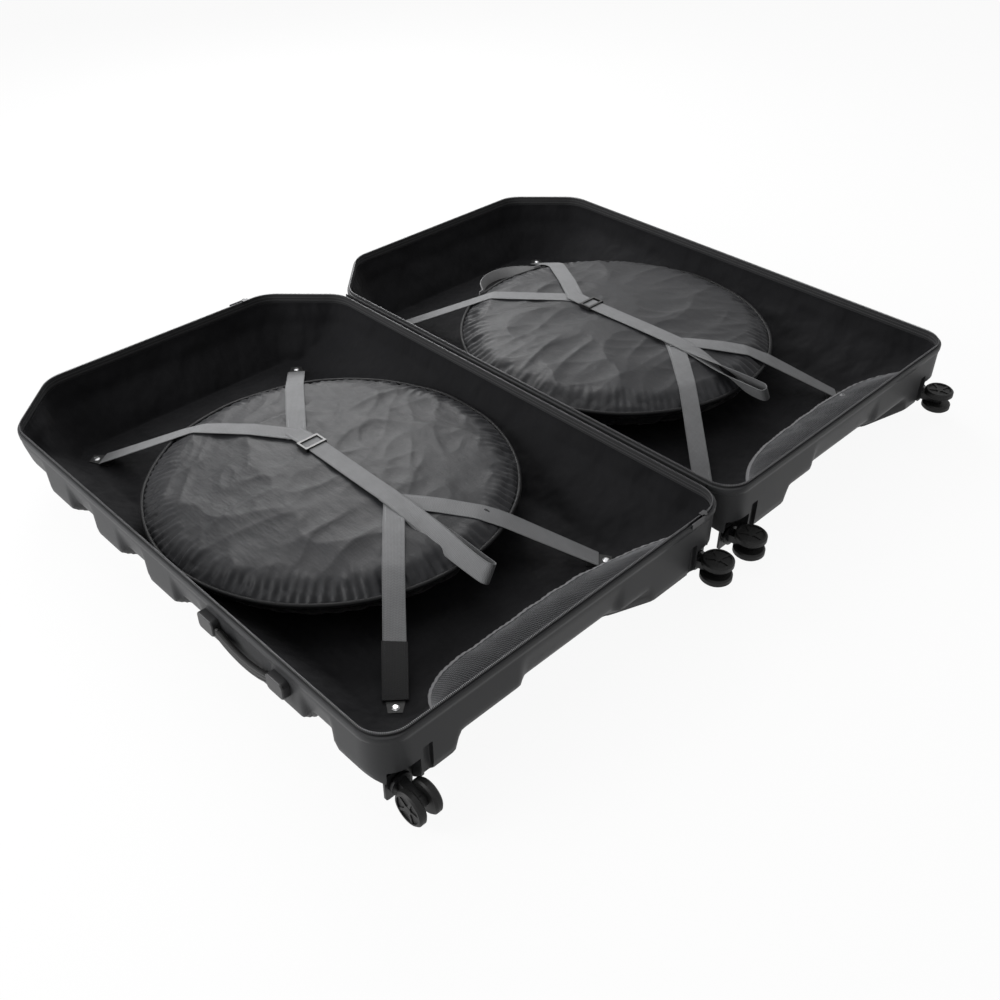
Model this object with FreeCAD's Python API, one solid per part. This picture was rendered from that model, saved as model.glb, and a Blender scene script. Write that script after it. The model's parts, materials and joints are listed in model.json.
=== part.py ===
import FreeCAD, Part
import math
import os

# A hard clamshell travel case for a bicycle, lying open: base half at -Y, lid half at +Y.
# The hinge line runs along X at y = 0, the casters are at the +X end, the floor is z = 0.

# Shells
SHELL_LENGTH = 1180.0
SHELL_WIDTH = 767.0
SHELL_DEPTH = 165.0
HINGE_GAP = 14.0
WALL = 2.5
BACK_CHAMFER = 125.0
BACK_RADIUS = 70.0
FRONT_RADIUS = 50.0
LIP_HEIGHT = 12.0
LIP_PROUD = 1.5
BAND_HEIGHT = 22.0
SKIRT_TOP = 66.0
SKIRT_INSET = 105.0
BACK_SKIRT_INSET = 65.0
CORNER_SKIRT_INSET = 55.0
FLOOR_RADIUS = 30.0
WALL_DRAFT = 9.0

# Ribs across the big faces, and the short ones on the caster end
RIB_HEIGHT = 20.0
RIB_CREST = 52.0
RIB_FLANK = 40.0
RIB_COUNT = 5
RIB_FRONT_SETBACK = 225.0
RIB_BACK_SETBACK = 265.0
END_RIB_INSET = 208.5
END_RIB_CREST = 60.0
RELIEF_SETBACK = 0.2

# Corner blocks that carry the casters
BLOCK_LENGTH = 95.0
BLOCK_WIDTH = 134.0
BLOCK_WALL = 115.0

# Casters
CASTER_INSET = 42.0
CASTER_HEIGHT = 47.0
SEAT_SETBACK = 25.0
SEAT_SIZE = 50.0
SEAT_THICKNESS = 4.0
RECESS_HEIGHT = 91.0
KINGPIN_RADIUS = 5.0
FORK_DISC_RADIUS = 19.0
FORK_DISC_THICKNESS = 5.0
FORK_THICKNESS = 15.0
FORK_WIDTH = 22.0
AXLE_REACH = 47.0
AXLE_TRAIL = 7.0
AXLE_RADIUS = 3.0
WHEEL_RADIUS = 29.0
WHEEL_THICKNESS = 14.0
WHEEL_SPOKES = 5

# Closure and hinge
TAPE_THICKNESS = 2.0
TAPE_PROUD = 5.5
PARTING = 7.3
TAPE_SEAM = 14.0
STRIP_THICKNESS = 1.5
SLIDER_LENGTH = 14.0
SLIDER_WIDTH = 8.0
PULL_LENGTH = 34.0
PULL_THICKNESS = 2.0
PULL_WIDTH = 12.0
PULL_PIN = 1.0
PULL_EYE = 2.5
EAR_THICKNESS = 1.2

# Lining, mesh pockets
LINING_THICKNESS = 1.2
POCKET_MARGIN = 148.5
POCKET_FOOT = 35.0
POCKET_BOW = 44.0
POCKET_SLOPE = 40.0
POCKET_START = 40.0
NET_THICKNESS = 1.5
NET_PITCH_ACROSS = 36.0
NET_PITCH_DOWN = 18.0
NET_STRAND = 3.0
HEM_WIDTH = 12.0
HEM_THICKNESS = 3.0

# Wheel bags
BAG_OFFSET = -10.0
BAG_MARGIN = 41.5
BAG_TOP_DROP = 28.0
BAG_EDGE_DROP = 54.0
BAG_EDGE_ROUND = 10.0
BAG_LOWER_ROUND = 24.0
BAG_FOOT_ROUND = 104.0
BAG_SIDE_HEIGHT = 38.0
BAG_BULGE_DROP = 14.0
DOME_STEPS = 3
BAG_LOOP_SPREAD = 17.5
BAG_LOOP_PAD = 0.2
BAG_LOOP_BOW = 44.0
BAG_LOOP_WIDTH = 25.0
BAG_LOOP_THICKNESS = 2.4
BAG_LOOP_STEPS = 8

# Straps
WEB_WIDTH = 38.0
WEB_THICKNESS = 1.6
WEB_LIFT = 2.0
LEG_STEPS = 6
ANCHOR_SIDE_INSET = 137.5
ANCHOR_BACK_INSET = 116.0
ANCHOR_FRONT_INSET = 142.0
ANCHOR_LENGTH = 46.0
ANCHOR_THICKNESS = 2.5
RIVET_RADIUS = 3.0
RIVET_HEAD = 6.5
REAR_APEX_SHARE = 0.307
FRONT_APEX_SHARE = 0.512
LOOP_END_INSET = 195.0
ADJUSTER_LENGTH = 30.0
ADJUSTER_BAR = 5.0
ADJUSTER_RAIL = 4.0

# Carry handle on the long side of the base
HANDLE_SETBACK = 317.0
HANDLE_SPAN = 181.0
HANDLE_DROP = 42.0
HANDLE_SAG = 30.0
GRIP_WIDTH = 20.0
GRIP_THICKNESS = 9.0
MOUNT_LENGTH = 42.0
MOUNT_HEIGHT = 32.0
MOUNT_DEPTH = 14.0
TRUNNION_RADIUS = 5.0

# Clearances
CLEAR = 0.3
RUNNING = 0.5
PRESS = 0.05
OVERSHOOT = 5.0
EMBED = 1.0

# Derived places
HALF_LENGTH = SHELL_LENGTH / 2
NEAR = HINGE_GAP / 2
FAR = NEAR + SHELL_WIDTH
MIDDLE = NEAR + SHELL_WIDTH / 2
RIM = SHELL_DEPTH
LINING_FLOOR = RIB_HEIGHT + WALL + CLEAR + LINING_THICKNESS
INNER_INSET = WALL + CLEAR + LINING_THICKNESS
SEAT_X = HALF_LENGTH - SEAT_SETBACK
AXLE_X = SEAT_X + AXLE_REACH
CASTER_OVERHANG = AXLE_X + WHEEL_RADIUS - HALF_LENGTH
X_SHIFT = -CASTER_OVERHANG / 2
RIB_PITCH = (SHELL_LENGTH - RIB_FRONT_SETBACK - RIB_BACK_SETBACK) / (RIB_COUNT - 1)
END_RIB_OFFSET = SHELL_WIDTH / 2 - END_RIB_INSET
POCKET_WIDTH = SHELL_WIDTH - 2 * POCKET_MARGIN
POCKET_FALL = RIM - POCKET_START - POCKET_FOOT
POCKET_REACH = POCKET_FALL / math.sin(math.radians(POCKET_SLOPE)) - HEM_WIDTH
POCKET_SIDE = POCKET_REACH - POCKET_BOW
BAG_RADIUS = SHELL_WIDTH / 2 - BAG_MARGIN
BAG_EDGE_RADIUS = BAG_RADIUS - BAG_EDGE_ROUND
BAG_LOWER_RADIUS = BAG_RADIUS - BAG_LOWER_ROUND
BAG_FOOT_RADIUS = BAG_RADIUS - BAG_FOOT_ROUND
ANCHOR_SPREAD = SHELL_WIDTH / 2 - ANCHOR_SIDE_INSET
ANCHOR_REAR = HALF_LENGTH - ANCHOR_BACK_INSET
ANCHOR_FRONT = HALF_LENGTH - ANCHOR_FRONT_INSET
REAR_APEX = BAG_OFFSET - BAG_RADIUS * REAR_APEX_SHARE
FRONT_APEX = BAG_OFFSET + BAG_RADIUS * FRONT_APEX_SHARE
LOOP_END = HALF_LENGTH - LOOP_END_INSET
HANDLE_CENTRE = HALF_LENGTH - HANDLE_SETBACK


def vec(x, y, z):
    return FreeCAD.Vector(x, y, z)


def box(x0, x1, y0, y1, z0, z1):
    """A box between two corners."""
    return Part.makeBox(x1 - x0, y1 - y0, z1 - z0, vec(x0, y0, z0))


def polygon(points):
    """A closed wire through the points."""
    return Part.makePolygon(list(points) + [points[0]])


def prism(points, direction):
    """A flat outline pushed along a direction."""
    return Part.Face(polygon(points)).extrude(direction)


def rounded_edges(corners, radii, z):
    """Edges of a closed outline at height z: an arc at each corner, then the line to the next."""
    count = len(corners)
    starts, middles, ends = [], [], []
    for i in range(count):
        here = vec(corners[i][0], corners[i][1], z)
        before = (vec(*corners[i - 1], z) - here).normalize()
        after = (vec(*corners[(i + 1) % count], z) - here).normalize()
        half = before.getAngle(after) / 2
        reach = radii[i] / math.tan(half)
        towards = (before + after).normalize()
        centre = here + towards * (radii[i] / math.sin(half))
        starts.append(here + before * reach)
        ends.append(here + after * reach)
        middles.append(centre - towards * radii[i])
    edges = []
    for i in range(count):
        edges.append(Part.Arc(starts[i], middles[i], ends[i]).toShape())
        edges.append(Part.makeLine(ends[i], starts[(i + 1) % count]))
    return edges


def stacked(levels):
    """A solid through outlines at several heights, with straight walls between them."""
    faces = [Part.Face(Part.Wire(levels[0])), Part.Face(Part.Wire(levels[-1]))]
    for upper, lower in zip(levels, levels[1:]):
        for a, b in zip(upper, lower):
            if a.Curve.TypeId == "Part::GeomLine":
                ends = [v.Point for v in a.Vertexes] + [v.Point for v in reversed(b.Vertexes)]
                faces.append(Part.Face(polygon(ends)))
            else:
                faces.append(Part.makeRuledSurface(a, b))
    skin = Part.makeShell(faces)
    skin.sewShape()
    solid = Part.makeSolid(skin)
    if solid.Volume < 0:
        solid.reverse()
    return solid


def outline(inset, z):
    """The shell's outline, moved inwards by inset, with its back corners cut off."""
    return cut_outline(inset, inset, inset, BACK_RADIUS, z)


def cut_outline(inset, back_inset, corner_inset, back_radius, z):
    """An outline whose back edge and cut-off corners move inwards by insets of their own."""
    cut = BACK_CHAMFER + corner_inset * math.sqrt(2)
    front, back = HALF_LENGTH - inset, back_inset - HALF_LENGTH
    near, far = NEAR + inset, FAR - inset
    cut_x = cut - inset - HALF_LENGTH
    corners = [
        (front, near), (front, far),
        (cut_x, far), (back, FAR - cut + back_inset),
        (back, NEAR + cut - back_inset), (cut_x, near),
    ]
    radii = [FRONT_RADIUS] * 2 + [back_radius] * 4
    return rounded_edges(corners, radii, z)


def slab(inset, z0, z1):
    """The outline as an upright block between two heights."""
    return Part.Face(Part.Wire(outline(inset, z0))).extrude(vec(0, 0, z1 - z0))


def dish(offset, top):
    """The dished form of a shell: upright band, drafted wall, slanting skirt and flat face."""
    levels = [
        outline(offset, top),
        outline(offset, RIM - BAND_HEIGHT),
        outline(WALL_DRAFT + offset, RIM - SKIRT_TOP),
        cut_outline(SKIRT_INSET + offset, BACK_SKIRT_INSET + offset, CORNER_SKIRT_INSET + offset,
                    FLOOR_RADIUS, RIB_HEIGHT + offset),
    ]
    return stacked(levels)


def across(x, raised, skin=0):
    """Section of the shell across the hinge line: a rib's crest, or its foot inside the skin."""
    band = RIM - BAND_HEIGHT + EMBED
    slope = (RIM - SKIRT_TOP - RIB_HEIGHT) / SKIRT_INSET
    if raised:
        out = skin if skin else -OVERSHOOT
        face, wall = skin, RIM - SKIRT_TOP - RIB_HEIGHT + (skin if skin else OVERSHOOT * slope)
        insets = [out, out, SKIRT_INSET + skin]
    else:
        deep = EMBED + skin
        face, wall = RIB_HEIGHT + deep, RIM - SKIRT_TOP
        insets = [deep, WALL_DRAFT + deep, SKIRT_INSET + deep]
    near_side = [vec(x, NEAR + i, z) for i, z in zip(insets, (band, wall, face))]
    far_side = [vec(x, FAR - i, z) for i, z in zip(insets, (band, wall, face))]
    return polygon(near_side + far_side[::-1])


def along(y, raised, depth, back):
    """Section of the shell's caster end: a crest with its wall this deep, or a foot in the skin."""
    band = RIM - BAND_HEIGHT + EMBED
    slope = (RIM - SKIRT_TOP - RIB_HEIGHT) / (SKIRT_INSET - WALL_DRAFT)
    if raised:
        face, wall = 0, RIM - depth + OVERSHOOT * slope
        insets = [-OVERSHOOT, -OVERSHOOT, (RIM - depth) / slope]
    else:
        face, wall = RIB_HEIGHT + EMBED, RIM - SKIRT_TOP
        insets = [EMBED, WALL_DRAFT + EMBED, SKIRT_INSET + EMBED]
    end_wall = [vec(HALF_LENGTH - i, y, z) for i, z in zip(insets, (band, wall, face))]
    return polygon([vec(back, y, band)] + end_wall + [vec(back, y, face)])


def rib(x, skin=0):
    """One rib across the big face, fading out on the walls; with a skin, the hollow inside it."""
    crest = RIB_CREST / 2 - skin
    foot = RIB_CREST / 2 + RIB_FLANK - skin
    sections = [
        across(x - foot, False, skin), across(x - crest, True, skin),
        across(x + crest, True, skin), across(x + foot, False, skin),
    ]
    return Part.makeLoft(sections, True, True)


def rib_places():
    """Middles of the ribs, counted from the caster end."""
    return [HALF_LENGTH - RIB_FRONT_SETBACK - RIB_PITCH * i for i in range(RIB_COUNT)]


def end_rib(y):
    """A short rib on the caster end that runs into the first rib across."""
    crest = END_RIB_CREST / 2
    foot = crest + RIB_FLANK
    back = rib_places()[0]
    wall = SKIRT_TOP + RIB_HEIGHT
    sections = [
        along(y - foot, False, wall, back), along(y - crest, True, wall, back),
        along(y + crest, True, wall, back), along(y + foot, False, wall, back),
    ]
    return Part.makeLoft(sections, True, True)


def corner_block(side):
    """Block at a caster corner; side is -1 beside the hinge and +1 at the outer edge."""
    edge = MIDDLE + side * (SHELL_WIDTH / 2 + OVERSHOOT)
    back = HALF_LENGTH - BLOCK_LENGTH - RIB_FLANK
    inner = MIDDLE + side * (SHELL_WIDTH / 2 - BLOCK_WIDTH)
    lengthwise = Part.makeLoft([
        along(edge, True, BLOCK_WALL, back - OVERSHOOT),
        along(inner, True, BLOCK_WALL, back - OVERSHOOT),
        along(inner - side * RIB_FLANK, False, BLOCK_WALL, back - OVERSHOOT),
    ], True, True)
    crosswise = Part.makeLoft([
        across(back, False), across(back + RIB_FLANK, True), across(HALF_LENGTH + OVERSHOOT, True),
    ], True, True)
    return lengthwise.common(crosswise)


def caster_places():
    """Y of the two casters of a shell, beside the hinge and at the outer edge."""
    return {"hinge": NEAR + CASTER_INSET, "outer": FAR - CASTER_INSET}


def caster_pocket(y, side):
    """Recess in a corner block, open to the front and below, round a caster's seat."""
    half = SEAT_SIZE / 2 + RUNNING
    inner = y - side * (FORK_DISC_RADIUS + WHEEL_THICKNESS)
    outer = y + side * half
    low, high = min(inner, outer), max(inner, outer)
    recess = box(SEAT_X, HALF_LENGTH + 1, low, high, -1, RECESS_HEIGHT)
    slot_at = inner - side * 10
    slot = box(HALF_LENGTH - 8, HALF_LENGTH + 1, slot_at - 4, slot_at + 4, -1, RECESS_HEIGHT + 20)
    return recess.fuse(slot)


def anchor_places():
    """Strap anchors of one shell: (x, y, +1 if the strap runs towards +X)."""
    places = []
    for spread in (-ANCHOR_SPREAD, ANCHOR_SPREAD):
        places.append((-ANCHOR_REAR, MIDDLE + spread, REAR_APEX))
        places.append((ANCHOR_FRONT, MIDDLE + spread, FRONT_APEX))
    return places


def shell():
    """One hard half of the case, a formed sheet with ribs, corner blocks and caster pockets."""
    raised = [rib(x) for x in rib_places()]
    raised += [end_rib(MIDDLE + s * END_RIB_OFFSET) for s in (-1, 1)]
    raised += [corner_block(s) for s in (-1, 1)]
    trim = slab(RELIEF_SETBACK, -1, RIM)
    raised = [piece.common(trim) for piece in raised]
    lip = slab(-LIP_PROUD, RIM - LIP_HEIGHT, RIM)
    body = dish(0, RIM).multiFuse([lip] + raised)
    cuts = [dish(WALL, RIM + 1)] + [rib(x, WALL + RELIEF_SETBACK) for x in rib_places()]
    for name, y in caster_places().items():
        side = 1 if name == "outer" else -1
        cuts.append(caster_pocket(y, side))
        kingpin = vec(SEAT_X - 16, y, CASTER_HEIGHT)
        cuts.append(Part.makeCylinder(KINGPIN_RADIUS + RUNNING, 17, kingpin, vec(1, 0, 0)))
    for x, y, _ in anchor_places():
        cuts.append(Part.makeCylinder(RIVET_RADIUS + CLEAR, 20, vec(x, y, RIB_HEIGHT)))
    for tool in cuts:
        body = body.cut(tool)
    return body


def lining():
    """Cloth lining of one half, a thin skin on the inside of the shell."""
    top = RIM - TAPE_SEAM - CLEAR
    skin = dish(WALL + CLEAR, top).cut(dish(INNER_INSET, top + 1))
    holes = []
    for x, y, _ in anchor_places():
        holes.append(Part.makeCylinder(RIVET_RADIUS + CLEAR, 40, vec(x, y, 0)))
    return skin.cut(holes)


def zipper_tape():
    """Zipper tape sewn inside the rim, its toothed edge standing above the lip."""
    outside = slab(WALL + CLEAR, RIM - TAPE_SEAM, RIM + TAPE_PROUD)
    inside = slab(WALL + CLEAR + TAPE_THICKNESS, RIM - TAPE_SEAM - 1, RIM + TAPE_PROUD + 1)
    return outside.cut(inside)


def hinge_strip():
    """Folded cloth hinge between the two rims, hanging as a shallow trough."""
    half = NEAR - LIP_PROUD - CLEAR
    start = -HALF_LENGTH + BACK_CHAMFER
    length = SHELL_LENGTH - BACK_CHAMFER - FRONT_RADIUS
    low = RIM - LIP_HEIGHT - 4
    section = [
        vec(start, -half, RIM - 1), vec(start, -half, low), vec(start, half, low),
        vec(start, half, RIM - 1), vec(start, half - STRIP_THICKNESS, RIM - 1),
        vec(start, half - STRIP_THICKNESS, low + STRIP_THICKNESS),
        vec(start, -half + STRIP_THICKNESS, low + STRIP_THICKNESS),
        vec(start, -half + STRIP_THICKNESS, RIM - 1),
    ]
    return prism(section, vec(length, 0, 0))


def pocket_frame():
    """Placement of a mesh pocket: its own x is across, its own y runs down the slope."""
    draft = WALL_DRAFT * (POCKET_START - BAND_HEIGHT) / (SKIRT_TOP - BAND_HEIGHT)
    x = HALF_LENGTH - INNER_INSET - draft - CLEAR
    down = vec(-math.cos(math.radians(POCKET_SLOPE)), 0, -math.sin(math.radians(POCKET_SLOPE)))
    sideways = vec(0, 1, 0)
    up = sideways.cross(down)
    turn = FreeCAD.Rotation(sideways, down, up, "XYZ")
    return FreeCAD.Placement(vec(x, MIDDLE, RIM - POCKET_START), turn)


def hem_curve(extra):
    """Arc of the pocket's lower edge, moved down the slope by extra."""
    half = POCKET_WIDTH / 2
    return Part.Arc(
        vec(-half, POCKET_SIDE + extra, 0), vec(0, POCKET_REACH + extra, 0),
        vec(half, POCKET_SIDE + extra, 0),
    ).toShape()


def net_gaps():
    """Diamond gaps of the net in staggered rows, clear of its edges."""
    half = POCKET_WIDTH / 2
    wide = (NET_PITCH_ACROSS - NET_STRAND * 2) / 2
    tall = (NET_PITCH_DOWN - NET_STRAND) / 2
    gaps = []
    rows = int(POCKET_REACH / (NET_PITCH_DOWN / 2))
    columns = int(half / NET_PITCH_ACROSS)
    for row in range(2, rows):
        v = row * NET_PITCH_DOWN / 2
        for column in range(-columns, columns + 1):
            u = (column + (row % 2) / 2) * NET_PITCH_ACROSS
            edge = POCKET_REACH - (POCKET_REACH - POCKET_SIDE) * (u / half) ** 2
            inside = abs(u) + wide < half - NET_STRAND
            if inside and v + tall * 2 < edge - NET_STRAND:
                gaps.append(polygon([
                    vec(u - wide, v, 0), vec(u, v - tall / 2, 0),
                    vec(u + wide, v, 0), vec(u, v + tall / 2, 0),
                ]))
    return gaps


def mesh_pocket():
    """Net panel over the skirt of the caster end, sewn to the lining along its top edge."""
    half = POCKET_WIDTH / 2
    hem = hem_curve(0)
    left, right = hem.valueAt(hem.FirstParameter), hem.valueAt(hem.LastParameter)
    edges = [
        Part.makeLine(vec(-half, 0, 0), left), hem,
        Part.makeLine(right, vec(half, 0, 0)), Part.makeLine(vec(half, 0, 0), vec(-half, 0, 0)),
    ]
    panel = Part.Face(Part.Wire(edges)).extrude(vec(0, 0, NET_THICKNESS))
    gaps = [Part.Face(gap).extrude(vec(0, 0, NET_THICKNESS)) for gap in net_gaps()]
    panel = panel.cut(gaps)
    panel.Placement = pocket_frame()
    return panel


def pocket_hem():
    """Elastic band along the lower edge of the net."""
    inner, outer = hem_curve(CLEAR), hem_curve(HEM_WIDTH)
    ends = [
        Part.makeLine(inner.valueAt(inner.FirstParameter), outer.valueAt(outer.FirstParameter)),
        Part.makeLine(inner.valueAt(inner.LastParameter), outer.valueAt(outer.LastParameter)),
    ]
    wire = Part.Wire(Part.__sortEdges__([inner, outer] + ends))
    band = Part.Face(wire).extrude(vec(0, 0, HEM_THICKNESS))
    band.translate(vec(0, 0, (NET_THICKNESS - HEM_THICKNESS) / 2))
    band.Placement = pocket_frame().multiply(band.Placement)
    return band


def bag_dome_radius():
    """Radius of the sphere that the bag's upper face is part of."""
    rise = BAG_EDGE_DROP - BAG_TOP_DROP
    return (BAG_EDGE_RADIUS ** 2 + rise ** 2) / (2 * rise)


def bag_top(x, y):
    """Height of the bag's upper face above the floor at a place on it."""
    across_bag = min(math.hypot(x - BAG_OFFSET, y - MIDDLE), BAG_EDGE_RADIUS)
    dome = bag_dome_radius()
    return RIM - BAG_TOP_DROP - dome + math.sqrt(dome ** 2 - across_bag ** 2)


def wheel_bag():
    """Padded round bag for a wheel, with a domed upper face and a rounded side."""
    foot = LINING_FLOOR + CLEAR
    top = RIM - BAG_TOP_DROP
    edge = RIM - BAG_EDGE_DROP
    profile = [vec(0, 0, foot), vec(0, 0, top)]
    for step in range(1, DOME_STEPS + 1):
        out = BAG_EDGE_RADIUS * step / DOME_STEPS
        profile.append(vec(out, 0, bag_top(BAG_OFFSET + out, MIDDLE)))
    profile.append(vec(BAG_RADIUS, 0, edge - BAG_BULGE_DROP))
    profile.append(vec(BAG_LOWER_RADIUS, 0, edge - BAG_SIDE_HEIGHT))
    profile.append(vec(BAG_FOOT_RADIUS, 0, foot))
    bag = Part.Face(polygon(profile)).revolve(vec(0, 0, 0), vec(0, 0, 1), 360)
    bag.translate(vec(BAG_OFFSET, MIDDLE, 0))
    return bag


def bag_loop():
    """Carry loop at the back of a bag, a web on edge that bows away from the bag's side."""
    inner, outer = [], []
    for step in range(-BAG_LOOP_STEPS, BAG_LOOP_STEPS + 1):
        share = step / BAG_LOOP_STEPS
        angle = math.radians(180 + BAG_LOOP_SPREAD * share)
        bow = BAG_LOOP_BOW * max(0, 1 - (share / (1 - BAG_LOOP_PAD)) ** 2)
        radius = BAG_RADIUS + CLEAR + bow
        heading = vec(math.cos(angle), math.sin(angle), 0)
        inner.append(heading * radius)
        outer.append(heading * (radius + BAG_LOOP_THICKNESS))
    loop = prism(inner + outer[::-1], vec(0, 0, BAG_LOOP_WIDTH))
    level = RIM - BAG_EDGE_DROP - BAG_BULGE_DROP - BAG_LOOP_WIDTH / 2
    loop.translate(vec(BAG_OFFSET, MIDDLE, level))
    return loop


def web(path, width):
    """A flat strap along a path of (x, y, z) points that lie in one upright plane."""
    first, last = path[0], path[-1]
    run = vec(last[0] - first[0], last[1] - first[1], 0).normalize()
    side = vec(-run.y, run.x, 0)
    lower = [vec(*p) - side * (width / 2) for p in path]
    upper = [p + vec(0, 0, WEB_THICKNESS) for p in reversed(lower)]
    return prism(lower + upper, side * width)


def strap_leg(anchor):
    """Points of one strap leg from its anchor, up over the bag's edge and to the apex."""
    start, end = vec(anchor[0], anchor[1], 0), vec(anchor[2], MIDDLE, 0)
    centre = vec(BAG_OFFSET, MIDDLE, 0)
    run = (end - start).normalize()
    length = (vec(anchor[2], MIDDLE, 0) - start).Length
    nearest = (centre - start).dot(run)
    aside = (start + run * nearest - centre).Length
    enter = nearest - math.sqrt((BAG_EDGE_RADIUS + WEB_LIFT * 2) ** 2 - aside ** 2)
    seat = start + run * (ANCHOR_LENGTH / 2)
    points = [(seat.x, seat.y, anchor_top() + CLEAR)]
    for step in range(LEG_STEPS + 1):
        here = start + run * (enter + (length - enter) * step / LEG_STEPS)
        points.append((here.x, here.y, bag_top(here.x, here.y) + WEB_LIFT))
    return points


def anchor_top():
    """Height of the upper face of the strap anchors."""
    return LINING_FLOOR + CLEAR + ANCHOR_THICKNESS


def strap_vee(apex):
    """Two strap legs sewn together where they meet on top of the bag."""
    legs = [web(strap_leg(a), WEB_WIDTH) for a in anchor_places() if a[2] == apex]
    knot_z = bag_top(apex, MIDDLE) + WEB_LIFT
    knot = box(apex - 12, apex + 12, MIDDLE - WEB_WIDTH / 2, MIDDLE + WEB_WIDTH / 2,
               knot_z, knot_z + WEB_THICKNESS)
    return legs[0].multiFuse([legs[1], knot]).removeSplitter()


def loop_height():
    """Height of the underside of the adjusting strap's upper run."""
    return bag_top(BAG_OFFSET, MIDDLE) + WEB_LIFT + ADJUSTER_BAR


def strap_loop():
    """Long adjusting strap: from the rear legs over the bag to its fold, and back underneath."""
    level = loop_height()
    fold = WEB_THICKNESS + 2 * CLEAR
    seam = bag_top(REAR_APEX, MIDDLE) + WEB_LIFT + WEB_THICKNESS + CLEAR
    lower = bag_top(FRONT_APEX, MIDDLE) + WEB_LIFT + WEB_THICKNESS + CLEAR
    tip = RIM - BAG_EDGE_DROP + 4
    upper_run = [(REAR_APEX - 8, seam), (REAR_APEX + 8, seam), (REAR_APEX + 24, level),
                 (FRONT_APEX - 25, level), (LOOP_END, tip + fold)]
    lower_run = [(LOOP_END, tip), (FRONT_APEX + 12, lower), (FRONT_APEX - 12, lower)]
    y = MIDDLE - WEB_WIDTH / 2
    top = [vec(x, y, z + WEB_THICKNESS) for x, z in upper_run]
    top.append(vec(LOOP_END + WEB_THICKNESS, y, tip + fold))
    top.append(vec(LOOP_END + WEB_THICKNESS, y, tip))
    under = [vec(x, y, z) for x, z in lower_run]
    inner = [vec(x, y, z + WEB_THICKNESS) for x, z in reversed(lower_run)]
    back = [vec(x, y, z) for x, z in reversed(upper_run)]
    return prism(top + under + inner + back, vec(0, WEB_WIDTH, 0))


def strap_adjuster():
    """Slide adjuster: outer bars above the strap, a middle bar below it, rails at the sides."""
    z = loop_height()
    x0 = REAR_APEX + 30
    x1 = x0 + ADJUSTER_LENGTH
    inner = WEB_WIDTH / 2 + RUNNING
    outer = inner + ADJUSTER_RAIL
    bar_top = z + WEB_THICKNESS + CLEAR
    height = ADJUSTER_BAR - 2
    parts = [
        box(x0, x1, MIDDLE + inner, MIDDLE + outer, z - CLEAR - height, bar_top + height),
        box(x0, x1, MIDDLE - outer, MIDDLE - inner, z - CLEAR - height, bar_top + height),
        box(x0, x0 + ADJUSTER_BAR, MIDDLE - outer, MIDDLE + outer, bar_top, bar_top + height),
        box(x1 - ADJUSTER_BAR, x1, MIDDLE - outer, MIDDLE + outer, bar_top, bar_top + height),
    ]
    mid = (x0 + x1) / 2
    parts.append(box(mid - ADJUSTER_BAR / 2, mid + ADJUSTER_BAR / 2,
                     MIDDLE - outer, MIDDLE + outer, z - CLEAR - height, z - CLEAR))
    return parts[0].multiFuse(parts[1:]).removeSplitter()


def strap_anchors():
    """Four plates on the lining's floor that the strap legs are sewn to."""
    z = LINING_FLOOR + CLEAR
    plates = []
    for x, y, apex in anchor_places():
        run = vec(apex - x, MIDDLE - y, 0).normalize()
        side = vec(-run.y, run.x, 0)
        here = vec(x, y, z)
        narrow, wide = WEB_WIDTH * 0.3, WEB_WIDTH * 0.5
        tail = here - run * (RIVET_HEAD + 4)
        nose = tail + run * ANCHOR_LENGTH
        plate = prism([tail - side * narrow, nose - side * wide, nose + side * wide,
                       tail + side * narrow], vec(0, 0, ANCHOR_THICKNESS))
        hole = Part.makeCylinder(RIVET_RADIUS + CLEAR, ANCHOR_THICKNESS + 2, here - vec(0, 0, 1))
        plates.append(plate.cut(hole))
    return Part.makeCompound(plates)


def anchor_rivets():
    """Four rivets through the anchors, the lining and the shell."""
    rivets = []
    for x, y, _ in anchor_places():
        shank = Part.makeCylinder(RIVET_RADIUS, anchor_top() + 1 - RIB_HEIGHT, vec(x, y, RIB_HEIGHT))
        head = Part.makeCone(RIVET_HEAD, RIVET_HEAD * 0.6, 2.2, vec(x, y, anchor_top() + CLEAR))
        rivets.append(shank.fuse(head).removeSplitter())
    return Part.makeCompound(rivets)


def turned(shape, y, angle):
    """A caster piece, drawn with its trail downwards, turned about its own swivel axis."""
    place = vec(0, y, CASTER_HEIGHT)
    shape = shape.copy()
    shape.translate(place)
    shape.rotate(place, vec(1, 0, 0), angle)
    return shape


def caster_seat():
    """Plate on the back wall of the pocket, with a collar round the kingpin."""
    half = SEAT_SIZE / 2
    plate = box(SEAT_X, SEAT_X + SEAT_THICKNESS, -half, half, -half, half)
    plate = plate.makeFillet(6, [e for e in plate.Edges if abs(e.tangentAt(0).x) > 0.9])
    collar = Part.makeCylinder(KINGPIN_RADIUS + 5, 3, vec(SEAT_X + SEAT_THICKNESS, 0, 0), vec(1, 0, 0))
    bore = Part.makeCylinder(KINGPIN_RADIUS + CLEAR, 40, vec(SEAT_X - 20, 0, 0), vec(1, 0, 0))
    return plate.fuse(collar).cut(bore)


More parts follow.
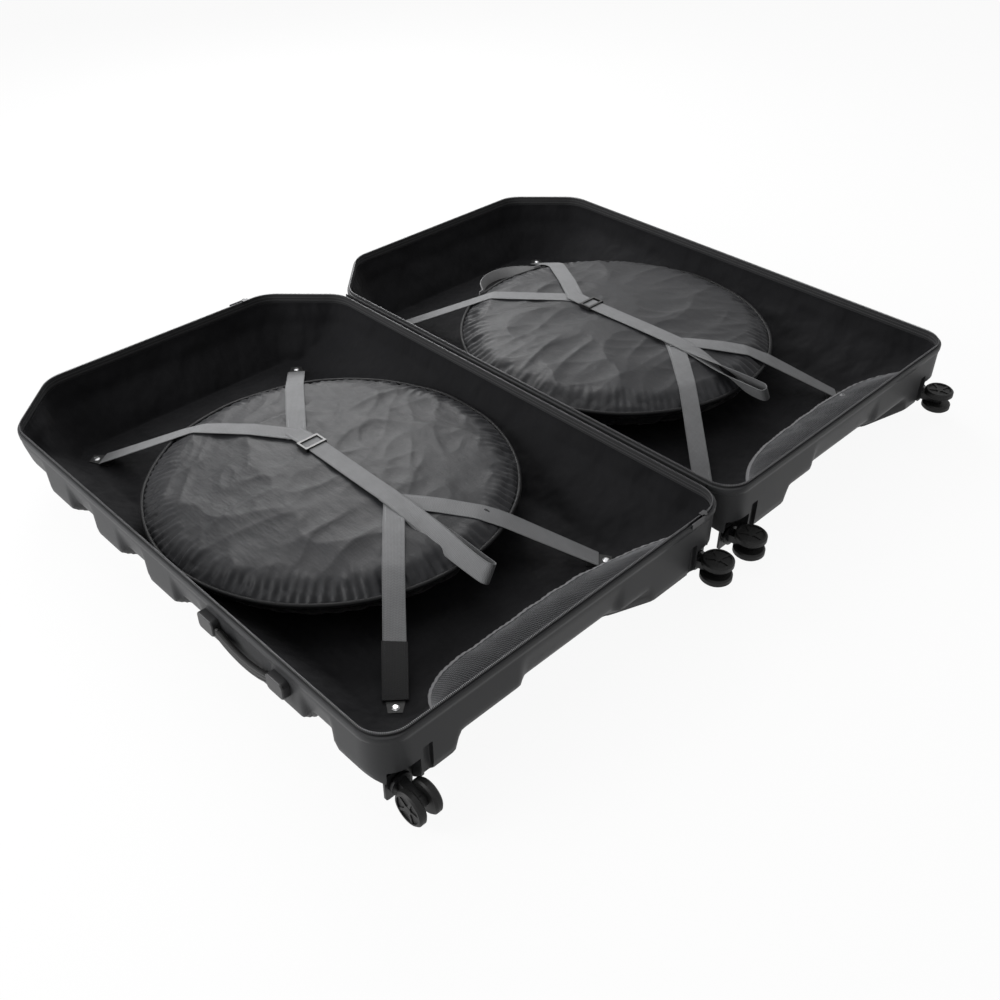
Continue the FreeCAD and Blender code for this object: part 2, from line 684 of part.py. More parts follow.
def caster_fork():
    """Swivelling fork: kingpin, disc and a rounded blade between the two wheels."""
    disc_x = SEAT_X + SEAT_THICKNESS + 3 + CLEAR
    pin = Part.makeCylinder(KINGPIN_RADIUS, disc_x - SEAT_X + 14, vec(SEAT_X - 14, 0, 0), vec(1, 0, 0))
    disc = Part.makeCylinder(FORK_DISC_RADIUS, FORK_DISC_THICKNESS, vec(disc_x, 0, 0), vec(1, 0, 0))
    half = FORK_WIDTH / 2
    front = disc_x + FORK_DISC_THICKNESS / 2
    y = -FORK_THICKNESS / 2
    edges = [
        Part.makeLine(vec(front, y, half), vec(AXLE_X, y, half - AXLE_TRAIL)),
        Part.Arc(vec(AXLE_X, y, half - AXLE_TRAIL), vec(AXLE_X + half, y, -AXLE_TRAIL),
                 vec(AXLE_X, y, -half - AXLE_TRAIL)).toShape(),
        Part.makeLine(vec(AXLE_X, y, -half - AXLE_TRAIL), vec(front, y, -half)),
        Part.makeLine(vec(front, y, -half), vec(front, y, half)),
    ]
    blade = Part.Face(Part.Wire(edges)).extrude(vec(0, FORK_THICKNESS, 0))
    bore = Part.makeCylinder(AXLE_RADIUS + CLEAR, 60, vec(AXLE_X, -30, -AXLE_TRAIL), vec(0, 1, 0))
    return pin.multiFuse([disc, blade]).cut(bore).removeSplitter()


def caster_axle():
    """Axle pressed into both wheels and running in the fork."""
    reach = FORK_THICKNESS / 2 + RUNNING + WHEEL_THICKNESS - 2
    place = vec(AXLE_X, -reach, -AXLE_TRAIL)
    return Part.makeCylinder(AXLE_RADIUS, reach * 2, place, vec(0, 1, 0))


def caster_wheel(side):
    """One wheel of a pair: rounded tread, dished face with spokes, hub with a blind bore."""
    inner = FORK_THICKNESS / 2 + RUNNING
    edge = 3.0
    profile = [
        vec(0, 0, 0), vec(WHEEL_RADIUS - edge, 0, 0), vec(WHEEL_RADIUS, 0, edge),
        vec(WHEEL_RADIUS, 0, WHEEL_THICKNESS - edge), vec(WHEEL_RADIUS - edge, 0, WHEEL_THICKNESS),
        vec(0, 0, WHEEL_THICKNESS),
    ]
    wheel = Part.Face(polygon(profile)).revolve(vec(0, 0, 0), vec(0, 0, 1), 360)
    dished = Part.makeCylinder(WHEEL_RADIUS - 6, 3, vec(0, 0, WHEEL_THICKNESS - 2.5))
    hub = Part.makeCylinder(7, 2, vec(0, 0, WHEEL_THICKNESS - 2.5))
    spokes = [hub]
    for i in range(WHEEL_SPOKES):
        spoke = box(0, WHEEL_RADIUS - 5, -2.5, 2.5, WHEEL_THICKNESS - 2.5, WHEEL_THICKNESS - 0.8)
        spoke.rotate(vec(0, 0, 0), vec(0, 0, 1), 360.0 / WHEEL_SPOKES * i)
        spokes.append(spoke)
    bore = Part.makeCylinder(AXLE_RADIUS + PRESS, WHEEL_THICKNESS - 2, vec(0, 0, 0))
    wheel = wheel.cut(dished).multiFuse(spokes).cut(bore).removeSplitter()
    wheel.rotate(vec(0, 0, 0), vec(1, 0, 0), -90 * side)
    wheel.translate(vec(AXLE_X, side * inner, -AXLE_TRAIL))
    return wheel


def handle_axis():
    """Pivot axis of the carry handle: (y, z) on the base's outer wall."""
    return -(FAR + LIP_PROUD + GRIP_THICKNESS / 2 + 1), RIM - HANDLE_DROP


def handle_grip():
    """Bowed grip that hangs on two trunnions and swings outwards."""
    y, z = handle_axis()
    half = HANDLE_SPAN / 2 - MOUNT_LENGTH / 2 - RUNNING
    wide = GRIP_WIDTH / 2
    sag = HANDLE_SAG
    at = HANDLE_CENTRE
    near_side = y - GRIP_THICKNESS / 2
    edges = [
        Part.Arc(vec(at - half, near_side, z + wide * 0.4), vec(at, near_side, z - sag + wide),
                 vec(at + half, near_side, z + wide * 0.4)).toShape(),
        Part.makeLine(vec(at + half, near_side, z + wide * 0.4), vec(at + half, near_side, z - wide)),
        Part.Arc(vec(at + half, near_side, z - wide), vec(at, near_side, z - sag - wide),
                 vec(at - half, near_side, z - wide)).toShape(),
        Part.makeLine(vec(at - half, near_side, z - wide), vec(at - half, near_side, z + wide * 0.4)),
    ]
    bar = Part.Face(Part.Wire(edges)).extrude(vec(0, GRIP_THICKNESS, 0))
    bar = bar.makeFillet(2.5, [e for e in bar.Edges if e.Length > HANDLE_SPAN / 2])
    pins = []
    depth = MOUNT_LENGTH / 2
    for side in (-1, 1):
        start = vec(at + side * (half - 4), y, z)
        pins.append(Part.makeCylinder(TRUNNION_RADIUS * 0.8, depth + 4, start, vec(side, 0, 0)))
    return bar.multiFuse(pins).removeSplitter()


def handle_mount(side):
    """End mount of the handle, a rounded block on the wall with a trunnion bore."""
    y, z = handle_axis()
    at = HANDLE_CENTRE + side * HANDLE_SPAN / 2
    wall = -FAR
    x0, x1 = at - MOUNT_LENGTH / 2, at + MOUNT_LENGTH / 2
    block = box(x0, x1, wall - MOUNT_DEPTH, wall - CLEAR, z - MOUNT_HEIGHT / 2, z + MOUNT_HEIGHT / 2)
    fronts = [e for e in block.Edges if abs(e.tangentAt(0).y) > 0.9]
    block = block.makeFillet(8, fronts)
    rims = [e for e in block.Edges if e.CenterOfMass.y < wall - MOUNT_DEPTH + 0.01]
    block = block.makeFillet(2.5, rims)
    bore = Part.makeCylinder(TRUNNION_RADIUS * 0.8 + CLEAR, MOUNT_LENGTH / 2 + 2,
                             vec(at, y, z), vec(-side, 0, 0))
    return block.cut(bore)


def slider_places():
    """Rest places of the two zipper sliders on the base: (end of the case, y)."""
    front = -(NEAR + FRONT_RADIUS + SLIDER_LENGTH)
    rear = -(NEAR + BACK_CHAMFER + BACK_RADIUS / 2 + SLIDER_LENGTH)
    return {"front": (1, front), "rear": (-1, rear)}


def pull_axis(end):
    """X of the upright pin that a zipper pull turns on."""
    return end * (HALF_LENGTH + LIP_PROUD + CLEAR + PULL_THICKNESS / 2)


def zipper_slider(end, y):
    """Slider astride the zipper tape, with two ears and a pin for its pull on the outer face."""
    tape = end * (HALF_LENGTH - WALL - CLEAR - TAPE_THICKNESS / 2)
    half = SLIDER_WIDTH / 2
    low, high = RIM + CLEAR, RIM + PARTING - CLEAR
    groove = TAPE_THICKNESS / 2 + CLEAR
    body = box(tape - half, tape + half, y - SLIDER_LENGTH / 2, y + SLIDER_LENGTH / 2, low, high)
    slot = box(tape - groove, tape + groove, y - SLIDER_LENGTH, y + SLIDER_LENGTH,
               low - 1, RIM + TAPE_PROUD + CLEAR)
    pin_x = pull_axis(end)
    pin = Part.makeCylinder(PULL_PIN, high - low, vec(pin_x, y, low))
    x0, x1 = sorted((tape + end * (half - 1), pin_x + end * PULL_PIN))
    ears = [
        box(x0, x1, y - PULL_EYE, y + PULL_EYE, low, low + EAR_THICKNESS),
        box(x0, x1, y - PULL_EYE, y + PULL_EYE, high - EAR_THICKNESS, high),
    ]
    return body.cut(slot).multiFuse([pin] + ears).removeSplitter()


def zipper_pull(end, y):
    """Pull tab with an eye round the slider's pin, lying along the rim."""
    x = pull_axis(end)
    low = RIM + 2 * CLEAR + EAR_THICKNESS
    high = RIM + PARTING - 2 * CLEAR - EAR_THICKNESS
    eye = Part.makeCylinder(PULL_PIN + PULL_THICKNESS * 0.6, high - low, vec(x, y, low))
    half = PULL_THICKNESS / 2
    neck = box(x - half, x + half, y - PULL_EYE - 3, y, low, high)
    tab = box(x - half, x + half, y - PULL_EYE - PULL_LENGTH, y - PULL_EYE - 2, RIM - PULL_WIDTH / 2,
              high)
    corners = [e for e in tab.Edges if abs(e.tangentAt(0).x) > 0.9]
    tab = tab.makeFillet(2, corners)
    bore = Part.makeCylinder(PULL_PIN + CLEAR, high - low + 2, vec(x, y, low - 1))
    return eye.multiFuse([neck, tab]).cut(bore).removeSplitter()


def put(name, shape):
    """Moves a finished piece to the part's frame and writes it."""
    shape = shape.copy()
    shape.translate(vec(X_SHIFT, 0, 0))
    shape.exportStep("parts/" + name + ".step")


def put_pair(name, shape):
    """Writes a piece of the lid, and its mirror image for the base."""
    put("lid_" + name, shape)
    put("base_" + name, shape.mirror(vec(0, 0, 0), vec(0, 1, 0)))


def put_caster(half, corner, y, angle):
    """Writes the pieces of one caster, swivelled by an angle about its kingpin."""
    name = half + "_" + corner + "_caster_"
    put(name + "seat", turned(caster_seat(), y, 0))
    put(name + "fork", turned(caster_fork(), y, angle))
    put(name + "axle", turned(caster_axle(), y, angle))
    put(name + "wheel_left", turned(caster_wheel(-1), y, angle))
    put(name + "wheel_right", turned(caster_wheel(1), y, angle))


def main():
    os.makedirs("parts", exist_ok=True)
    for name, make in {
        "shell": shell, "lining": lining, "zipper_tape": zipper_tape, "mesh_pocket": mesh_pocket,
        "pocket_hem": pocket_hem, "wheel_bag": wheel_bag, "strap_loop": strap_loop,
        "strap_adjuster": strap_adjuster, "strap_anchors": strap_anchors,
        "anchor_rivets": anchor_rivets,
    }.items():
        put_pair(name, make())
    put_pair("strap_rear", strap_vee(REAR_APEX))
    put_pair("strap_front", strap_vee(FRONT_APEX))
    put("lid_bag_loop", bag_loop())
    put("hinge_strip", hinge_strip())
    for corner, y in caster_places().items():
        put_caster("lid", corner, y, 90)
        put_caster("base", corner, -y, 90 if corner == "hinge" else 0)
    put("handle_grip", handle_grip())
    put("handle_mount_rear", handle_mount(-1))
    put("handle_mount_front", handle_mount(1))
    for place, (end, y) in slider_places().items():
        put("zipper_slider_" + place, zipper_slider(end, y))
        put("zipper_pull_" + place, zipper_pull(end, y))


if __name__ == "__main__":
    main()
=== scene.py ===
import json
import logging
import math
from dataclasses import dataclass, field
from enum import Enum
from typing import Callable, Sequence

import bmesh
import bpy
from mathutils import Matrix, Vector, bvhtree, noise

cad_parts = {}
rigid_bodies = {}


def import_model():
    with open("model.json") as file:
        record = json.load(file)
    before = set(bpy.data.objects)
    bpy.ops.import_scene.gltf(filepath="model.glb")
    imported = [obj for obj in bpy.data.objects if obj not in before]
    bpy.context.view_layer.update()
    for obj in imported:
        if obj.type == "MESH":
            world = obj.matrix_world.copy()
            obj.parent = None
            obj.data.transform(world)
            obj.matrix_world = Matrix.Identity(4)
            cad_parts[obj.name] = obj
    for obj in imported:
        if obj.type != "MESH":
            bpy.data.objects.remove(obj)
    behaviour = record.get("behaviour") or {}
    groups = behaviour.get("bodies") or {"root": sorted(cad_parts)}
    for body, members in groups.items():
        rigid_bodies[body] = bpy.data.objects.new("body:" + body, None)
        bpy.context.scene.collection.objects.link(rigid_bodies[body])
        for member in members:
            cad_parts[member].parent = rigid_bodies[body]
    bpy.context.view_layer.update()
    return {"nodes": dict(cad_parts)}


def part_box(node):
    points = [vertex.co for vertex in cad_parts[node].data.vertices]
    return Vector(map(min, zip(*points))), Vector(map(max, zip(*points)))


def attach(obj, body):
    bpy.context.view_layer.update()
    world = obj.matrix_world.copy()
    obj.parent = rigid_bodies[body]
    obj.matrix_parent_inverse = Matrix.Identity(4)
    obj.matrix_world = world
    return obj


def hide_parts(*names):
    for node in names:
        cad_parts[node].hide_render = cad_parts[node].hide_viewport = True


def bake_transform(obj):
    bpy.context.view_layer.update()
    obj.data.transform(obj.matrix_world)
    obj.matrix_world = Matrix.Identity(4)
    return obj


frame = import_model()
LOG = logging.getLogger("travel_case")
Colour = tuple[float, float, float]
Piece = bpy.types.Object
Material = bpy.types.Material
Socket = bpy.types.NodeSocket
MM = 0.001


class Half(Enum):
    """The two halves of the case, with the side of the hinge that each lies on."""

    LID = 1
    BASE = -1

    @property
    def body(self) -> str:
        """Name of the half's own body."""
        return self.name.lower()

    def node(self, name: str) -> str:
        """Name of one of the half's nodes."""
        return self.body + "_" + name


class Field:
    """A number that varies over a surface; arithmetic on it adds Math nodes."""

    def __init__(self, graph: "Graph", socket: Socket) -> None:
        """Wraps a socket of a graph."""
        self.graph = graph
        self.socket = socket

    def __add__(self, other: "Field | float") -> "Field":
        """Sum."""
        return self.graph.math("ADD", self, other)

    __radd__ = __add__

    def __sub__(self, other: "Field | float") -> "Field":
        """Difference."""
        return self.graph.math("SUBTRACT", self, other)

    def __rsub__(self, other: float) -> "Field":
        """Difference, with the field taken away."""
        return self.graph.math("SUBTRACT", other, self)

    def __mul__(self, other: "Field | float") -> "Field":
        """Product."""
        return self.graph.math("MULTIPLY", self, other)

    __rmul__ = __mul__

    def __truediv__(self, other: "Field | float") -> "Field":
        """Quotient."""
        return self.graph.math("DIVIDE", self, other)

    def __pow__(self, other: float) -> "Field":
        """Power."""
        return self.graph.math("POWER", self, other)

    def __abs__(self) -> "Field":
        """Size without sign."""
        return self.graph.math("ABSOLUTE", self)

    def wave(self, pitch: float) -> "Field":
        """A sine from 0 to 1 that repeats each pitch."""
        return self.graph.math("SINE", self * (2 * math.pi / pitch)) * 0.5 + 0.5

    def floor_mod(self, pitch: float) -> "Field":
        """What is left over after whole pitches, from 0 to 1."""
        return self.graph.math("FRACT", self / pitch)

    def ramp(self, low: float, high: float) -> "Field":
        """0 below low, 1 above high and smooth between them."""
        settings = {"interpolation_type": "SMOOTHSTEP", "clamp": True}
        inputs = {"Value": self, "From Min": low, "From Max": high}
        return Field(self.graph, self.graph.node("ShaderNodeMapRange", settings, inputs).outputs[0])


class Graph:
    """The nodes of one material, ending in a Principled shader."""

    def __init__(self, name: str) -> None:
        """Starts an empty material of that name."""
        self.material = bpy.data.materials.new(name)
        self.material.use_nodes = True
        self.tree = self.material.node_tree
        self.tree.nodes.clear()
        output = self.tree.nodes.new("ShaderNodeOutputMaterial")
        self.shader = self.tree.nodes.new("ShaderNodeBsdfPrincipled")
        self.tree.links.new(self.shader.outputs[0], output.inputs[0])

    def node(self, kind: str, settings: dict | None = None, inputs: dict | None = None) -> bpy.types.Node:
        """Adds a node.

        Args:
            kind: Blender's name of the node's type.
            settings: the node's own settings, set before its sockets.
            inputs: a value or a link for each socket, by name or number.

        Returns:
            The node.
        """
        made = self.tree.nodes.new(kind)
        for key, value in (settings or {}).items():
            setattr(made, key, value)
        self.feed(made, inputs or {})
        return made

    def feed(self, node: bpy.types.Node, inputs: dict) -> None:
        """Sets or links a node's sockets."""
        for key, value in inputs.items():
            socket = node.inputs[key]
            value = value.socket if isinstance(value, Field) else value
            if isinstance(value, Socket):
                self.tree.links.new(value, socket)
            else:
                socket.default_value = value

    def math(self, operation: str, *values: "Field | float") -> Field:
        """A Math node on one or two values."""
        made = self.node("ShaderNodeMath", {"operation": operation}, dict(enumerate(values)))
        return Field(self, made.outputs[0])

    def place(self, scale: Sequence[float] = (1, 1, 1)) -> Socket:
        """Object coordinates, scaled."""
        where = self.node("ShaderNodeTexCoord").outputs["Object"]
        return self.node("ShaderNodeMapping", None, {"Vector": where, "Scale": scale}).outputs[0]

    def axis(self, name: str) -> Field:
        """One of the object's coordinates, X, Y or Z, in metres."""
        split = self.node("ShaderNodeSeparateXYZ", None, {0: self.place()})
        return Field(self, split.outputs[name])

    def attribute(self, name: str) -> Field:
        """A number that is kept on the piece's own points."""
        return Field(self, self.node("ShaderNodeAttribute", {"attribute_name": name}).outputs["Fac"])

    def cloud(self, scale: float, detail: float = 3, rough: float = 0.55,
              stretch: Sequence[float] = (1, 1, 1)) -> Field:
        """Soft noise from 0 to 1.

        Args:
            scale: how many lumps there are in a metre, about.
            detail: how many finer layers it has.
            rough: how strong the finer layers are.
            stretch: scale of the three axes.

        Returns:
            The noise as a field.
        """
        inputs = {"Vector": self.place(stretch), "Scale": scale, "Detail": detail, "Roughness": rough}
        return Field(self, self.node("ShaderNodeTexNoise", None, inputs).outputs[0])

    def pebbles(self, scale: float) -> Field:
        """Small rounded cells, 0 at their middles."""
        inputs = {"Vector": self.place(), "Scale": scale}
        return Field(self, self.node("ShaderNodeTexVoronoi", {"feature": "SMOOTH_F1"}, inputs).outputs[0])

    def blend(self, share: "Field | float", low: "Colour | Socket", high: Colour) -> Socket:
        """A colour between two, by a share from 0 to 1."""
        low = (*low, 1) if isinstance(low, tuple) else low
        inputs = {0: share, 6: low, 7: (*high, 1)}
        return self.node("ShaderNodeMix", {"data_type": "RGBA"}, inputs).outputs[2]

    def bump(self, height: Field, depth: float, strength: float = 1.0) -> Socket:
        """A normal from a height field that is depth metres deep."""
        inputs = {"Height": height, "Distance": depth, "Strength": strength}
        return self.node("ShaderNodeBump", None, inputs).outputs[0]


def shade(colour: Colour, factor: float) -> Colour:
    """A colour made lighter or darker."""
    return tuple(min(1.0, c * factor) for c in colour)


@dataclass(frozen=True)
class MouldedPlastic:
    """Grained satin plastic, a little rubbed and dusty."""

    name: str
    colour: Colour
    roughness: float = 0.5
    gloss: float = 0.3
    grain: float = 900.0
    depth: float = 0.00012

    def make(self) -> Material:
        """Builds the material."""
        graph = Graph(self.name)
        patches = graph.cloud(9, 4)
        rubbed = graph.cloud(60, 5, 0.7).ramp(0.55, 0.8)
        grain = graph.pebbles(self.grain)
        share = patches * 0.7 + rubbed * 0.3
        graph.feed(graph.shader, {
            "Base Color": graph.blend(share, shade(self.colour, 0.8), shade(self.colour, 1.25)),
            "Roughness": patches * 0.14 + rubbed * 0.08 + (self.roughness - 0.1),
            "Normal": graph.bump(grain, self.depth, 0.6),
            "Specular IOR Level": self.gloss,
        })
        return graph.material


@dataclass(frozen=True)
class WovenCloth:
    """Dark woven cloth with threads both ways, faded patches and a soft sheen."""

    name: str
    colour: Colour
    roughness: float = 0.8
    gloss: float = 0.1
    thread: float = 0.0016
    depth: float = 0.0003
    sheen: float = 0.02
    patch: float = 14.0
    wrinkle: float = 0.0

    def make(self) -> Material:
        """Builds the material."""
        graph = Graph(self.name)
        x, y, z = (graph.axis(a) for a in "XYZ")
        warp = (x + z * 0.7).wave(self.thread)
        weft = (y + z * 0.7).wave(self.thread)
        weave = warp * 0.5 + weft * 0.5
        faded = graph.cloud(self.patch, 4, 0.6)
        fuzz = graph.cloud(420, 2)
        creased = graph.cloud(9, 3, 0.5, (1, 1, 0.5)) * self.wrinkle
        share = faded * 0.6 + weave * 0.2 + fuzz * 0.2
        graph.feed(graph.shader, {
            "Base Color": graph.blend(share, shade(self.colour, 0.65), shade(self.colour, 1.4)),
            "Roughness": faded * 0.12 + (self.roughness - 0.06),
            "Normal": graph.bump((weave + fuzz * 0.4) * self.depth + creased, 1.0, 0.6),
            "Specular IOR Level": self.gloss,
            "Sheen Weight": self.sheen,
            "Sheen Roughness": 0.45,
        })
        return graph.material


@dataclass(frozen=True)
class BagNylon:
    """Thin padded nylon: close weave, a silky sheen and faint painted shade and highlight along its crumples."""

    name: str
    colour: Colour
    thread: float = 0.0011
    ripstop: float = 0.006
    gloss: float = 0.2

    def make(self) -> Material:
        """Builds the material."""
        graph = Graph(self.name)
        x, y = graph.axis("X"), graph.axis("Y")
        weave = x.wave(self.thread) * 0.5 + y.wave(self.thread) * 0.5
        square = (x.wave(self.ripstop) ** 12) * 0.5 + (y.wave(self.ripstop) ** 12) * 0.5
        faded = graph.cloud(7, 4, 0.6)
        crumple = graph.cloud(38, 4, 0.6, (1, 1.8, 1))
        creased = graph.cloud(15, 3, 0.5, (1.0, 2.0, 1.0))
        # the crumple noise that raises the bump is also a share of the colour: painted shade in its hollows and painted
        # highlight on its ridges
        share = faded * 0.55 + crumple * 0.3 + square * 0.15
        graph.feed(graph.shader, {
            "Base Color": graph.blend(share, shade(self.colour, 0.6), shade(self.colour, 1.45)),
            "Roughness": crumple * 0.16 + faded * 0.1 + 0.36,
            "Normal": graph.bump(weave * 0.02 + square * 0.03 + crumple * 0.22 + creased * 0.7, 0.006, 0.5),
            "Specular IOR Level": self.gloss,
            "Sheen Weight": 0.06,
            "Sheen Roughness": 0.4,
        })
        return graph.material


@dataclass(frozen=True)
class StrapWebbing:
    """Woven strap with raised cross threads, close edges and rows of stitching near its ends."""

    name: str
    colour: Colour
    width: float = 0.038
    pick: float = 0.0028
    chevron: float = 0.0096
    cord: float = 0.0024
    stitch: float = 0.0042
    stitch_inset: float = 0.005

    def make(self) -> Material:
        """Builds the material."""
        graph = Graph(self.name)
        along, across = graph.attribute("along"), graph.attribute("across")
        zigzag = abs(across.floor_mod(self.chevron) - 0.5) * 0.004
        twill = (along + zigzag).wave(self.pick)
        cords = across.wave(self.cord)
        edge = abs(across).ramp(self.width / 2 - 0.0028, self.width / 2 - 0.0012)
        worn = graph.cloud(45, 4, 0.65)
        rows = abs(abs(across) - (self.width / 2 - self.stitch_inset)).ramp(0.0004, 0.0009)
        dashes = along.floor_mod(self.stitch).ramp(0.28, 0.36)
        stitch = (1 - rows) * dashes * graph.attribute("sewn")
        weave = twill * 0.6 + cords * 0.4
        share = weave * 0.6 + worn * 0.4 + edge * -0.15 + stitch * 0.5
        graph.feed(graph.shader, {
            "Base Color": graph.blend(share, shade(self.colour, 0.45), shade(self.colour, 1.5)),
            "Roughness": worn * 0.12 + 0.62,
            "Normal": graph.bump(weave + edge * 0.8 + stitch * 1.5, 0.0005, 0.7),
            "Specular IOR Level": 0.2,
            "Sheen Weight": 0.05,
            "Sheen Roughness": 0.5,
        })
        return graph.material


@dataclass(frozen=True)
class ZipperBand:
    """Zipper tape: herringbone band with two rows of stitching along it."""

    name: str
    colour: Colour
    thread: Colour
    rows: tuple[float, float] = (0.004, 0.0105)
    stitch: float = 0.0045

    def make(self) -> Material:
        """Builds the material."""
        graph = Graph(self.name)
        along, height = graph.attribute("along"), graph.attribute("across")
        rib = (along + height * 0.9).wave(0.0018) * 0.5 + height.wave(0.0016) * 0.5
        lower, upper = (1 - abs(height - row).ramp(0.0004, 0.0008) for row in self.rows)
        stitch = (lower + upper) * along.floor_mod(self.stitch).ramp(0.25, 0.32)
        worn = graph.cloud(70, 4, 0.6)
        base = graph.blend(rib * 0.4 + worn * 0.6, shade(self.colour, 0.6), shade(self.colour, 1.5))
        graph.feed(graph.shader, {
            "Base Color": graph.blend(stitch * 0.75, base, self.thread),
            "Roughness": worn * 0.15 + 0.62,
            "Normal": graph.bump(rib * 0.5 + stitch, 0.0006, 0.7),
            "Specular IOR Level": 0.22,
        })
        return graph.material


@dataclass(frozen=True)
class BareMetal:
    """Plated metal with fine brushing and dull spots."""

    name: str
    colour: Colour
    roughness: float = 0.3

    def make(self) -> Material:
        """Builds the material."""
        graph = Graph(self.name)
        brushed = graph.cloud(300, 4, 0.6, (1, 1, 8))
        dull = graph.cloud(150, 3)
        graph.feed(graph.shader, {
            "Base Color": graph.blend(dull, shade(self.colour, 0.75), shade(self.colour, 1.15)),
            "Roughness": dull * 0.2 + brushed * 0.1 + (self.roughness - 0.1),
            "Normal": graph.bump(brushed, 0.0001, 0.4),
            "Metallic": 1.0,
        })
        return graph.material


@dataclass(frozen=True)
class Floor:
    """Pale matt floor that the camera sees nearly white, with a soft shadow left on it."""

    name: str = "pale_floor"
    colour: Colour = (0.85, 0.85, 0.85)
    veil: float = 0.93

    def make(self) -> Material:
        """Builds the material."""
        graph = Graph(self.name)
        graph.feed(graph.shader, {"Base Color": (*self.colour, 1), "Roughness": 0.9, "Specular IOR Level": 0.1})
        rays = graph.node("ShaderNodeLightPath")
        kinds = ("Is Camera Ray", "Is Glossy Ray", "Is Transmission Ray")
        camera, glossy, through = (Field(graph, rays.outputs[kind]) for kind in kinds)
        seen = graph.math("MAXIMUM", graph.math("MAXIMUM", camera, glossy), through)
        glow = graph.node("ShaderNodeEmission", None, {"Color": (1, 1, 1, 1), "Strength": 1.0})
        inputs = {0: seen * self.veil, 1: graph.shader.outputs[0], 2: glow.outputs[0]}
        mix = graph.node("ShaderNodeMixShader", None, inputs)
        output = next(n for n in graph.tree.nodes if n.type == "OUTPUT_MATERIAL")
        graph.tree.links.new(mix.outputs[0], output.inputs[0])
        return graph.material


def clear_selection() -> None:
    """Deselects every object, so that an operator acts on one piece only."""
    for thing in bpy.context.view_layer.objects:
        thing.select_set(False)


def only(piece: Piece) -> None:
    """Makes a piece the one selected and active object."""
    clear_selection()
    piece.select_set(True)
    bpy.context.view_layer.objects.active = piece


def added(name: str, operator: Callable[..., object], **settings: object) -> Piece:
    """Adds a primitive, a lamp or a camera by its operator and names it."""
    clear_selection()
    operator(**settings)
    made = bpy.context.active_object
    made.name = made.data.name = name
    return made


def gridded(name: str, columns: int, rows: int, place: Callable[[int, int], Vector]) -> Piece:
    """Models a grid whose points are put where place says, by row and column."""
    piece = added(name, bpy.ops.mesh.primitive_grid_add, x_subdivisions=columns, y_subdivisions=rows)
    for number, vert in enumerate(piece.data.vertices):
        vert.co = place(*divmod(number, columns + 1))
    return piece


def apply_modifier(piece: Piece, kind: str, **settings: object) -> None:
    """Adds a modifier with these settings and applies it."""
    only(piece)
    bpy.ops.object.modifier_add(type=kind)
    modifier = piece.modifiers[-1]
    for key, value in settings.items():
        setattr(modifier, key, value)
    bpy.ops.object.modifier_apply(modifier=modifier.name)


def finish_piece(piece: Piece, material: Material, body: str,
                 replaced: Sequence[str] = (), angle: float = 40.0) -> Piece:
    """Gives a piece its material, smooth shading and body, and hides the nodes that it stands for."""
    only(piece)
    bpy.ops.object.shade_smooth_by_angle(angle=math.radians(angle))
    piece.data.materials.clear()
    piece.data.materials.append(material)
    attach(piece, body)
    if replaced:
        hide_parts(*replaced)
    LOG.info("%s rides on %s", piece.name, body)
    return piece


def dress(node: str, material: Material) -> None:
    """Gives a shown node of the frame a material."""
    thing = frame["nodes"][node]
    thing.data.materials.clear()
    thing.data.materials.append(material)
    for face in thing.data.polygons:
        face.material_index = 0


def smooth(value: float, low: float, high: float) -> float:
    """0 below low, 1 above high and smooth between them."""
    share = min(max((value - low) / (high - low), 0.0), 1.0)
    return share * share * (3 - 2 * share)


def folds(point: Vector, size: float, seed: float = 0.0) -> float:
    """Creased noise from 0 to 1 whose ridges are about size metres apart."""
    where = point / size + Vector((seed, seed * 1.7, seed * 0.6))
    return (1 - abs(noise.noise(where))) ** 3


def select_border() -> None:
    """Selects the open edges of the edited mesh and nothing else."""
    bpy.ops.mesh.select_all(action="DESELECT")
    bpy.ops.mesh.select_non_manifold()


def edit(piece: Piece, border: bool = False) -> None:
    """Opens a piece's mesh for editing, with every edge selected or only its open border."""
    only(piece)
    bpy.ops.object.mode_set(mode="EDIT")
    bpy.ops.mesh.select_mode(type="EDGE")
    bpy.ops.mesh.select_all(action="SELECT")
    if border:
        select_border()


def close_edit() -> None:
    """Turns the faces of the edited mesh outwards and ends the editing."""
    bpy.ops.mesh.select_all(action="SELECT")
    bpy.ops.mesh.normals_make_consistent(inside=False)
    bpy.ops.object.mode_set(mode="OBJECT")


def drawn_out(piece: Piece, ring: Sequence[int], places: Sequence[Vector]) -> list[int]:
    """Extrudes the selected ring of an edited piece to new places.

    Args:
        piece: the piece.
        ring: the numbers of the ring's points.
        places: where each point's copy goes.

    Returns:
        The numbers of the new points, in the ring's order.
    """
    bpy.ops.mesh.extrude_region_move()
    mesh = bmesh.from_edit_mesh(piece.data)
    mesh.verts.ensure_lookup_table()
    drawn = []
    for index in ring:
        neighbours = (e.other_vert(mesh.verts[index]) for e in mesh.verts[index].link_edges)
        drawn.append(next(v for v in neighbours if v.select))
    for vert, place in zip(drawn, places):
        vert.co = place
    mesh.verts.index_update()
    numbers = [v.index for v in drawn]
    bmesh.update_edit_mesh(piece.data)
    return numbers


